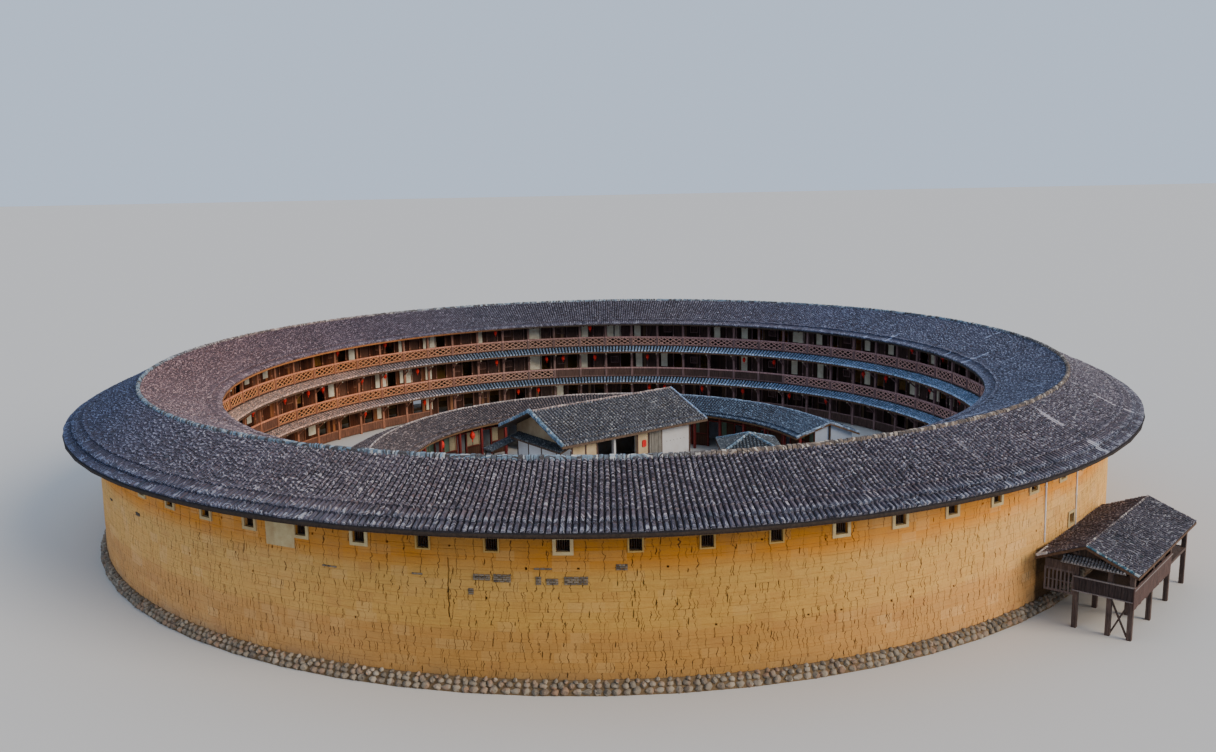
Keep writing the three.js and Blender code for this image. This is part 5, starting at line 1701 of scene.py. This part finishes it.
draw = random.Random(TILE_SEED + 3)
hall_slopes = [straight_slope(f"hall_rows_{degrees}", degrees, (0, HALL_RIDGE_TOP), HALL_EAVE,
                              HALL_HALF_LENGTH - 0.03, HALL_ROWS, HALL_ROWS // 4, draw, (0.22,))
               for degrees in (-90, 90)]
hall_tiles = tile_finish("hall_tiles", rgb(0.035, 0.034, 0.043), rgb(0.15, 0.15, 0.185),
                         rgb(0.17, 0.14, 0.12), rgb(0.60, 0.59, 0.58), 0.24)
hall_slopes = moved(joined("hall_slopes", hall_slopes), HALL)
show("hall_tiles", [unevenness(hall_slopes, roof_clouds, 0.02)], [hall_tiles])

skirt_places = [turn(180) @ shift(0, (row + 0.5) * HALL_SKIRT_STEP - HALL_SKIRT_REACH, 0)
                for row in range(HALL_SKIRT_ROWS)]
skirt_rows = tile_rows("skirt_rows", tile, skirt_places, *HALL_SKIRT, draw)
cool_tiles = tile_finish("cool_tiles", rgb(0.026, 0.031, 0.04), rgb(0.10, 0.12, 0.145),
                         rgb(0.10, 0.095, 0.10), rgb(0.36, 0.39, 0.42), 0.16)
show("hall_skirt_tiles", [moved(skirt_rows, HALL)], [cool_tiles])

pink_mortar = cap_finish("pink_mortar", rgb(0.46, 0.35, 0.33), rgb(0.16, 0.13, 0.13))
reach = HALL_HALF_LENGTH - 0.04
hall_ridge = joined("hall_ridge", cap_line(cap, (-reach, 0, HALL_RIDGE_TOP), (reach, 0, HALL_RIDGE_TOP),
                                           draw, 0.6))
show("hall_ridge", [moved(hall_ridge, HALL)], [pink_mortar])
verges = {-reach: [], reach: []}
for side, width in ((-reach, 1.0), (reach, 0.55)):
    for across in (-HALL_EAVE[0], HALL_EAVE[0]):
        verges[side] += cap_line(cap, (side, 0, HALL_RIDGE_TOP + 0.01), (side, across, HALL_EAVE[1] + 0.02),
                                 draw, width)
lime_verge = cap_finish("lime_verge", rgb(0.22, 0.34, 0.48), rgb(0.10, 0.15, 0.20))
blue_verge = cap_finish("blue_verge", rgb(0.26, 0.42, 0.72), rgb(0.18, 0.27, 0.42))
show("hall_left_verge", [moved(joined("verges", verges[-reach]), HALL)], [lime_verge])
show("hall_right_verge", [moved(joined("verges", verges[reach]), HALL)], [blue_verge])

front, gable = -HALL_WALL[1], -HALL_WALL[0]
hall_frame = [block("hall_post", (along - 0.03, front - STUD_PROUD, STUD_FOOT),
                    (along + 0.03, front - OFF_WALL, 1.74)) for along in FRONT_POSTS]
hall_frame.append(block("hall_head", (-1.45, front - 0.014, 1.602), (1.2, front - OFF_WALL, 1.65)))
hall_frame.append(block("hall_plate", (-2.44, front - STUD_PROUD, 1.66), (2.44, front - OFF_WALL, 1.72)))
for across in SKIRT_GABLE_STUDS:
    hall_frame.append(block("gable_stud", (gable - STUD_PROUD, across - 0.025, STUD_FOOT),
                            (gable - OFF_WALL, across + 0.025, 1.45)))
for across in FAR_GABLE_STUDS:
    hall_frame.append(block("far_stud", (-gable + OFF_WALL, across - 0.025, STUD_FOOT),
                            (-gable + STUD_PROUD, across + 0.025, 1.7)))
for along in BACK_STUDS:
    hall_frame.append(block("back_stud", (along - 0.03, -front + OFF_WALL, STUD_FOOT),
                            (along + 0.03, -front + STUD_PROUD, 1.7)))
hall_frame = eased(joined("hall_frame", hall_frame), 0.004)
show("hall_frame", [moved(hall_frame, HALL)], [plank_wood])

hall_planks = []
for number in range(7):
    start = HALL_PLANKS_START + number * HALL_PLANK_STEP
    hall_planks.append(block("hall_plank", (start, front - 0.022 - 0.006 * (number % 2), 0.07),
                             (start + HALL_PLANK_WIDTH, front - OFF_WALL, 1.64)))
grey_planks = wood_finish("grey_planks", rgb(0.10, 0.095, 0.085), rgb(0.25, 0.24, 0.22),
                          rgb(0.36, 0.34, 0.31))
hall_planks = eased(joined("hall_planks", hall_planks), 0.004)
show("hall_planks", [moved(hall_planks, HALL)], [grey_planks])

plaque = block("plaque", (0.37, front - 0.03, 1.13), (0.53, front - OFF_WALL, 1.36))
with editing(plaque):
    pick("edges", lambda place: abs(place.y - (front - 0.015)) < 0.01)
    bpy.ops.mesh.bevel(offset=0.045, segments=4)
    pick("faces", lambda place: place.y < front - 0.029)
    bpy.ops.mesh.inset(thickness=0.016)
    bpy.ops.transform.translate(value=(0, 0.006, 0))
red_paint = wood_finish("red_paint", rgb(0.45, 0.01, 0.012), rgb(0.62, 0.02, 0.02),
                        rgb(0.60, 0.14, 0.10), 0.5)
show("hall_plaque", [moved(plaque, HALL)], [red_paint])


# Hall side canopy
# A small lean-to of boards runs out from the hall's back left corner and rests on two timber posts. Five
# rows of cool grey tiles lie on it.
CANOPY_TOP = (2.46, 1.42)
CANOPY_LOW = (3.68, 1.11)
CANOPY_SIDES = (1.2, 1.75)
CANOPY_ROWS = 5
CANOPY_ROW_STEP = 0.11

canopy_boards = lean(block("canopy_boards", (-CANOPY_LOW[0], CANOPY_SIDES[0], -0.022),
                           (-CANOPY_TOP[0], CANOPY_SIDES[1], 0)),
                     (-CANOPY_TOP[0], CANOPY_TOP[1]), (-CANOPY_LOW[0], CANOPY_LOW[1]), 0.0)
canopy_posts = [block("canopy_post", (-CANOPY_LOW[0] + 0.06, across - 0.025, 0),
                      (-CANOPY_LOW[0] + 0.11, across + 0.025, CANOPY_LOW[1]))
                for across in (CANOPY_SIDES[0] + 0.03, CANOPY_SIDES[1] - 0.03)]
canopy_frame = joined("canopy_frame", [canopy_boards, *canopy_posts])
eased(canopy_frame, 0.003)
show("hall_canopy_frame", [moved(canopy_frame, HALL)], [dark_timber])
canopy_places = [turn(180) @ shift(0, -CANOPY_SIDES[0] - (row + 0.5) * CANOPY_ROW_STEP, 0)
                 for row in range(CANOPY_ROWS)]
canopy_rows = tile_rows("canopy_rows", tile, canopy_places, CANOPY_TOP, CANOPY_LOW, draw)
show("hall_canopy_tiles", [moved(canopy_rows, HALL)], [cool_tiles])


# Court shed
# A low four-sided roof stands on four posts beside the hall. It's laid with the same cool tiles as the
# hall's skirt, in rows that start at the hips, and the hips are bedded in lime.
SHED_CENTRE = (4.74, 0.045)
SHED_APEX = 1.5
SHED_EAVE = (0.99, 1.084)
SHED_TILED_HALF = 0.98
SHED_HIP_FOOT = 0.97
SHED_ROWS = 17

cover(pan_finish("shed_pans", rgb(0.03, 0.032, 0.038), rgb(0.12, 0.075, 0.05)), "court_shed")
draw = random.Random(TILE_SEED + 4)
shed_places, shed_starts = [], []
for side in range(4):
    for row in range(SHED_ROWS):
        offset = (row + 0.5) / SHED_ROWS * (2 * SHED_TILED_HALF) - SHED_TILED_HALF
        shed_places.append(turn(90 * side) @ shift(0, offset, 0))
        shed_starts.append(abs(offset))
shed_rows = tile_rows("shed_rows", tile, shed_places, (0, SHED_APEX), SHED_EAVE, draw, starts=shed_starts)
moved(shed_rows, shift(*SHED_CENTRE, 0))
show("shed_tiles", [shed_rows], [cool_tiles])
hips = []
for x_side, y_side in ((-1, -1), (1, -1), (1, 1), (-1, 1)):
    hip_foot = (x_side * SHED_HIP_FOOT, y_side * SHED_HIP_FOOT, SHED_EAVE[1] + 0.02)
    hips += cap_line(cap, (0, 0, SHED_APEX), hip_foot, draw, 0.75)
hips = moved(joined("hips", hips), shift(*SHED_CENTRE, 0))
show("shed_hips", [hips], [lime_verge])


# Side porch
# A raised timber room on stilts leans against the wall: dark plank sides under pale handrails, a barred
# screen over the passage, a tiled two-slope roof with a lime-set ridge, and a tiled skirt across its open
# front gable.
PORCH_RADIUS = 16.02
PORCH_AZIMUTH = math.radians(-43.1)
PORCH_CENTRE = (PORCH_RADIUS * math.cos(PORCH_AZIMUTH), PORCH_RADIUS * math.sin(PORCH_AZIMUTH))
PORCH_TURN_DEG = 48.7
PORCH = shift(*PORCH_CENTRE, 0) @ turn(PORCH_TURN_DEG)
PORCH_HALF_LENGTH = 2.355
PORCH_RIDGE_TOP = 1.95
PORCH_OUTER_EAVE = (1.085, 1.504)
PORCH_WALL_EAVE = (1.031, 1.504)
PORCH_ROWS = 40
PORCH_FRONT = -2.182
PORCH_SIDE = -0.9655
PORCH_SIDE_END = 0.75
PORCH_PARAPET = (0.86, 1.18)
PORCH_SIDE_BOTTOM = 0.7
SIDE_PLANK_STEP = 0.115
FRONT_PLANKS = 10
FRONT_PLANK_STEP = 0.122
FRONT_RAIL_REACH = 1.23
TIE_PLACES = (-2.1, -0.7, 0.7, 2.1)
SKIRT_SLOPE = ((2.155, 1.645), (2.352, 1.5))
SKIRT_SIDES = (-0.84, 0.49)
SKIRT_WIDTH = 1.33
SKIRT_ROWS = 20


def porch_tile_finish():
    """Dark grey tiles, browner on the slope that faces the wall."""
    finish = tile_finish("porch_tiles", rgb(0.028, 0.025, 0.035), rgb(0.14, 0.125, 0.155),
                         rgb(0.14, 0.10, 0.095), rgb(0.50, 0.48, 0.50), 0.2)
    across = finish.axes(finish.turned(PORCH_CENTRE, PORCH_TURN_DEG))[1]
    return tinted(finish, (across.above(0.0), rgb(1.0, 0.88, 0.80)))


def porch_plank_finish():
    """Nearly black parapet boards. The long side, which faces the sun, is painted browner and brighter as
    painted sunlight.
    """
    finish = wood_finish("parapet_timber", rgb(0.016, 0.011, 0.011), rgb(0.055, 0.037, 0.034),
                         rgb(0.12, 0.09, 0.085))
    across = finish.axes(finish.turned(PORCH_CENTRE, PORCH_TURN_DEG))[1]
    # Painted sunlight: the outer face of the long side is browner and brighter.
    return tinted(finish, (across.below(PORCH_SIDE - 0.0015), rgb(2.1, 1.75, 1.6)))


cover(pan_finish("porch_pans", rgb(0.012, 0.01, 0.012), rgb(0.13, 0.072, 0.042)), "porch_roof")
porch_wood = wood_finish("porch_timber", rgb(0.035, 0.023, 0.02), rgb(0.12, 0.08, 0.065),
                         rgb(0.26, 0.20, 0.17))
parapet_wood = porch_plank_finish()
screen_wood = wood_finish("porch_screen", rgb(0.06, 0.043, 0.04), rgb(0.15, 0.112, 0.10),
                          rgb(0.24, 0.19, 0.175))
pale_rail = wood_finish("porch_rails", rgb(0.13, 0.105, 0.10), rgb(0.27, 0.235, 0.225),
                        rgb(0.38, 0.34, 0.32))
cover(porch_wood, "porch_frame")
cover(screen_wood, "porch_screen")

draw = random.Random(TILE_SEED + 5)
porch_slopes = [straight_slope(f"porch_rows_{degrees}", degrees, (0, PORCH_RIDGE_TOP), eave,
                               PORCH_HALF_LENGTH - 0.03, PORCH_ROWS, PORCH_ROWS // 4, draw, widening=0.85)
                for degrees, eave in ((-90, PORCH_OUTER_EAVE), (90, PORCH_WALL_EAVE))]
porch_slopes = moved(joined("porch_slopes", porch_slopes), PORCH)
show("porch_tiles", [unevenness(porch_slopes, roof_clouds, 0.02)], [porch_tile_finish()])

reach = PORCH_HALF_LENGTH - 0.04
porch_mortar = cap_finish("porch_mortar", rgb(0.20, 0.165, 0.175), rgb(0.06, 0.05, 0.055), pale=0.3)
hook_mortar = cap_finish("hook_mortar", rgb(0.78, 0.76, 0.75), rgb(0.40, 0.38, 0.37))
scalloped_verge = cap_finish("scalloped_verge", rgb(0.08, 0.22, 0.30), rgb(0.04, 0.09, 0.12), pale=0.5)
ridge_line = joined("ridge_line", cap_line(cap, (-reach, 0, PORCH_RIDGE_TOP), (reach, 0, PORCH_RIDGE_TOP),
                                           draw, 0.42))
for side, width, mortar in ((-reach, 0.42, scalloped_verge), (reach, 0.35, porch_mortar)):
    verge = joined("verge", cap_line(cap, (side, 0, PORCH_RIDGE_TOP),
                                     (side, -PORCH_OUTER_EAVE[0], PORCH_OUTER_EAVE[1] + 0.02), draw, width))
    show("porch_front_verge" if side < 0 else "porch_far_verge", [moved(verge, PORCH)], [mortar])
show("porch_ridge", [moved(ridge_line, PORCH)], [porch_mortar])
hook = cap_line(cap, (-reach, 1.0, 1.53), (-reach + 0.6, 1.0, 1.53), draw, 0.6)
hook += cap_line(cap, (-reach, 0.78, 1.62), (-reach, 1.0, 1.53), draw, 0.6)
show("porch_hook", [moved(joined("hook", hook), PORCH)], [hook_mortar])

(skirt_in, skirt_up), (skirt_out, skirt_down) = SKIRT_SLOPE
skirt_slab = block("skirt_slab", (-skirt_out, SKIRT_SIDES[0], -0.02), (-skirt_in, SKIRT_SIDES[1], 0.0))
lean(skirt_slab, (-skirt_in, skirt_up), (-skirt_out, skirt_down), 0)
show("porch_skirt_boards", [moved(skirt_slab, PORCH)], [dark_timber])
skirt_step = SKIRT_WIDTH / SKIRT_ROWS
skirt_places = [turn(180) @ shift(0, (row + 0.5) * skirt_step - SKIRT_SIDES[1], 0)
                @ Matrix.Diagonal((1, 0.66, 1, 1)) for row in range(SKIRT_ROWS)]
skirt_rows = tile_rows("porch_skirt_rows", tile, skirt_places, *SKIRT_SLOPE, draw, course=0.08)
skirt_tiles = tile_finish("skirt_tiles", rgb(0.08, 0.075, 0.08), rgb(0.25, 0.235, 0.24),
                          rgb(0.17, 0.155, 0.155), rgb(0.42, 0.40, 0.40), 0.4)
show("porch_skirt_tiles", [moved(skirt_rows, PORCH)], [skirt_tiles])

porch_planks = []
start = PORCH_FRONT - 0.03
while start < PORCH_SIDE_END - 0.1:
    low = PORCH_SIDE_BOTTOM + draw.uniform(0.0, 0.03)
    porch_planks.append(block("side_plank", (start + 0.003, PORCH_SIDE - 0.026, low),
                              (start + 0.112, PORCH_SIDE - 0.002, 1.205 - draw.uniform(0.0, 0.02))))
    start += SIDE_PLANK_STEP
for number in range(FRONT_PLANKS):
    start = PORCH_SIDE + number * FRONT_PLANK_STEP
    porch_planks.append(block("front_plank", (PORCH_FRONT + 0.003, start + 0.003, PORCH_PARAPET[0]),
                              (PORCH_FRONT + 0.027, start + 0.119, PORCH_PARAPET[1])))
porch_planks = eased(joined("porch_planks", porch_planks), 0.003)
show("porch_planks", [moved(porch_planks, PORCH)], [parapet_wood], ["porch_planking"])
porch_rails = [block(name, (PORCH_FRONT - 0.012, PORCH_SIDE - 0.02, low),
                     (PORCH_FRONT + 0.03, PORCH_SIDE + FRONT_RAIL_REACH, high))
               for name, low, high in (("front_rail", 1.175, 1.205), ("front_sill", 0.856, 0.88))]
porch_rails.append(block("side_rail", (PORCH_FRONT, PORCH_SIDE - 0.034, 1.12),
                         (PORCH_SIDE_END, PORCH_SIDE - 0.026, 1.15)))
porch_rails = eased(joined("porch_rails", porch_rails), 0.003)
show("porch_rails", [moved(porch_rails, PORCH)], [pale_rail])


def brace(name, start, end, width):
    """A straight strut between two points."""
    start, end = Vector(start), Vector(end)
    strut = block(name, (-width / 2, -width / 2, 0), (width / 2, width / 2, (end - start).length))
    turned = (end - start).to_track_quat("Z", "Y").to_matrix().to_4x4()
    return moved(strut, shift(*start) @ turned)


braces = [brace("brace_1", (-2.1, -0.86, 0.06), (-2.1, -0.52, 0.8), 0.035),
          brace("brace_2", (-2.06, -0.52, 0.06), (-2.06, -0.86, 0.8), 0.035)]
for along in TIE_PLACES:
    braces.append(brace("tie", (along, -0.9, 1.47), (along, 0.2, 1.47), 0.05))
for across, height in ((-0.915, 1.49), (0.213, 1.75)):
    braces.append(brace("plate", (-2.3, across, height), (2.3, across, height), 0.05))
braces.append(block("gable_boards", (PORCH_FRONT + 0.035, 0.27, 1.272), (PORCH_FRONT + 0.06, 0.88, 1.46)))
gable_panel = block("gable_panel", (PORCH_FRONT + 0.035, -0.9, 1.5), (PORCH_FRONT + 0.06, 0.9, 1.9))
with editing(gable_panel):
    for slope in (-0.411, 0.411):
        slice_at((0, 0, 1.85), (0, slope, 1), clear_outer=True, use_fill=True)
show("porch_gable", [moved(gable_panel, PORCH)], [dark_timber])
show("porch_braces", [moved(joined("braces", braces), PORCH)], [porch_wood])
screen_rail = brace("screen_rail", (PORCH_FRONT + 0.05, 0.265, 1.0), (PORCH_FRONT + 0.05, 0.89, 1.0),
                    0.022)
show("screen_rail", [moved(screen_rail, PORCH)], [screen_wood])


# Downpipes
# Two white plastic pipes carry rain down the wall behind the porch. Saddle clamps hold them, and an elbow
# turns the upper end of each out under the eave.
PIPES_DEG = (-48.8, -42.3)
PIPE_RADIUS = 0.02
PIPE_TOP = 3.3
PIPE_OFF_WALL = 0.0006
CLAMP_HEIGHTS = (1.75, 2.3, 2.85, 3.2)
CLAMP_DEPTH = 0.032
ELBOW_STEPS = 3
ELBOW_STEP_TURN = 0.5


def pipe_finish():
    finish = Finish("pipe_plastic", 0.4, 0.45)
    dirt = finish.noise(6.0, 4.0, (2, 2, 0.5))
    tone = finish.mix(dirt.ramp(0.45, 0.8) * 0.6, rgb(0.70, 0.68, 0.68), rgb(0.42, 0.34, 0.28))
    return finish.finished(tone, dirt, 0.002)


white_pipe = pipe_finish()
cover(white_pipe, "downpipe_1", "downpipe_2")
fittings = []
for azimuth in PIPES_DEG:
    bay_share = (azimuth - FIRST_POST_DEG) / BAY_DEG
    off = (bay_share - math.floor(bay_share) - 0.5) * math.radians(BAY_DEG)
    flat = math.cos(math.radians(BAY_DEG / 2)) / math.cos(off)
    for height in CLAMP_HEIGHTS:
        axis = wall_radius(height) * flat + PIPE_RADIUS + PIPE_OFF_WALL
        bpy.ops.mesh.primitive_cylinder_add(vertices=14, radius=PIPE_RADIUS + 0.005, depth=CLAMP_DEPTH,
                                            location=(axis, 0, height))
        clamp = settle(named("clamp"))
        with editing(clamp):
            pick("edges", lambda place: abs(abs(place.z - height) - CLAMP_DEPTH / 2) < 1e-4)
            bpy.ops.mesh.bevel(offset=0.003, segments=2)
        lug = block("lug", (axis - 0.035, -0.035, height - 0.012), (axis - 0.014, 0.035, height + 0.012))
        fittings += [moved(clamp, turn(azimuth)), moved(lug, turn(azimuth))]
    axis = wall_radius(PIPE_TOP) * flat + PIPE_RADIUS + PIPE_OFF_WALL
    bpy.ops.mesh.primitive_cylinder_add(vertices=14, radius=PIPE_RADIUS + 0.004, depth=0.05,
                                        location=(axis, 0, PIPE_TOP - 0.02))
    elbow = settle(named("elbow"))
    with editing(elbow):
        pick("faces", lambda place: place.z > PIPE_TOP)
        for _ in range(ELBOW_STEPS):
            bpy.ops.mesh.extrude_region_move(TRANSFORM_OT_translate={"value": (0.012, 0, 0.016)})
            bpy.ops.transform.rotate(value=-ELBOW_STEP_TURN, orient_axis="Y",
                                     center_override=(axis + 0.02, 0, PIPE_TOP + 0.02))
        bpy.ops.mesh.extrude_region_move(TRANSFORM_OT_translate={"value": (0.16, 0, 0.012)})
    fittings.append(moved(elbow, turn(azimuth)))
show("pipe_clamps", fittings, [white_pipe], smooth_deg=40)


# Lanterns
# Red paper lanterns hang from the beams of the galleries and of the inner ring. Each is paper on ribs with a
# cap at both ends and a tassel, on a short cord. The inner ring's are larger.
LANTERN_RADIUS = 0.07
LANTERN_HANG_RADIUS = 12.3
LANTERNS_BELOW, LANTERNS_ON_TOP = 0.36, 0.2
LANTERN_SEED = 8


def lantern_shape(name, radius):
    """A ribbed paper lantern with a cap at each end and a tassel, hung on a short cord."""
    bpy.ops.mesh.primitive_uv_sphere_add(segments=10, ring_count=8, radius=radius)
    lantern = named(name)
    lantern.scale = (1, 1, 1.5)
    settle(lantern)
    with editing(lantern):
        pick("faces", lambda place: abs(place.z) > radius * 1.32)
        bpy.ops.mesh.extrude_region_move(TRANSFORM_OT_translate={"value": (0, 0, 0)})
        bpy.ops.transform.resize(value=(0.8, 0.8, 1.12))
    bpy.ops.mesh.primitive_cone_add(vertices=6, radius1=radius * 0.22, radius2=radius * 0.08,
                                    depth=radius * 0.9, location=(0, 0, -radius * 1.95))
    tassel = settle(named("tassel"))
    bpy.ops.mesh.primitive_cylinder_add(vertices=5, radius=0.004, depth=radius * 1.3,
                                        location=(0, 0, radius * 2.1))
    return joined(name, [lantern, tassel, settle(named("cord"))])


def lantern_finish():
    finish = Finish("lantern_paper", 0.6, 0.3)
    ribs = finish.noise(9.0, 2.0, (0.5, 0.5, 9))
    tone = finish.mix(ribs.ramp(0.35, 0.65), rgb(0.60, 0.012, 0.008), rgb(0.90, 0.04, 0.025))
    return finish.finished(tone, ribs, 0.004)


draw = random.Random(LANTERN_SEED)
lantern = lantern_shape("lantern", LANTERN_RADIUS)
lanterns = []
for bay in range(BAYS):
    for floor_top, height in STOREYS:
        if draw.random() < (LANTERNS_BELOW if floor_top < 2 else LANTERNS_ON_TOP):
            hang = shift(LANTERN_HANG_RADIUS, draw.uniform(-0.35, 0.35), floor_top + height - 0.4)
            lanterns.append(copy_of(lantern, turn(FIRST_BAY_DEG + bay * BAY_DEG) @ hang))
lanterns += [copy_of(lantern, place) for place in inner_lantern_places]
show("lanterns", lanterns, [lantern_finish()], smooth_deg=50)
clear_away(lantern, tile, cap)
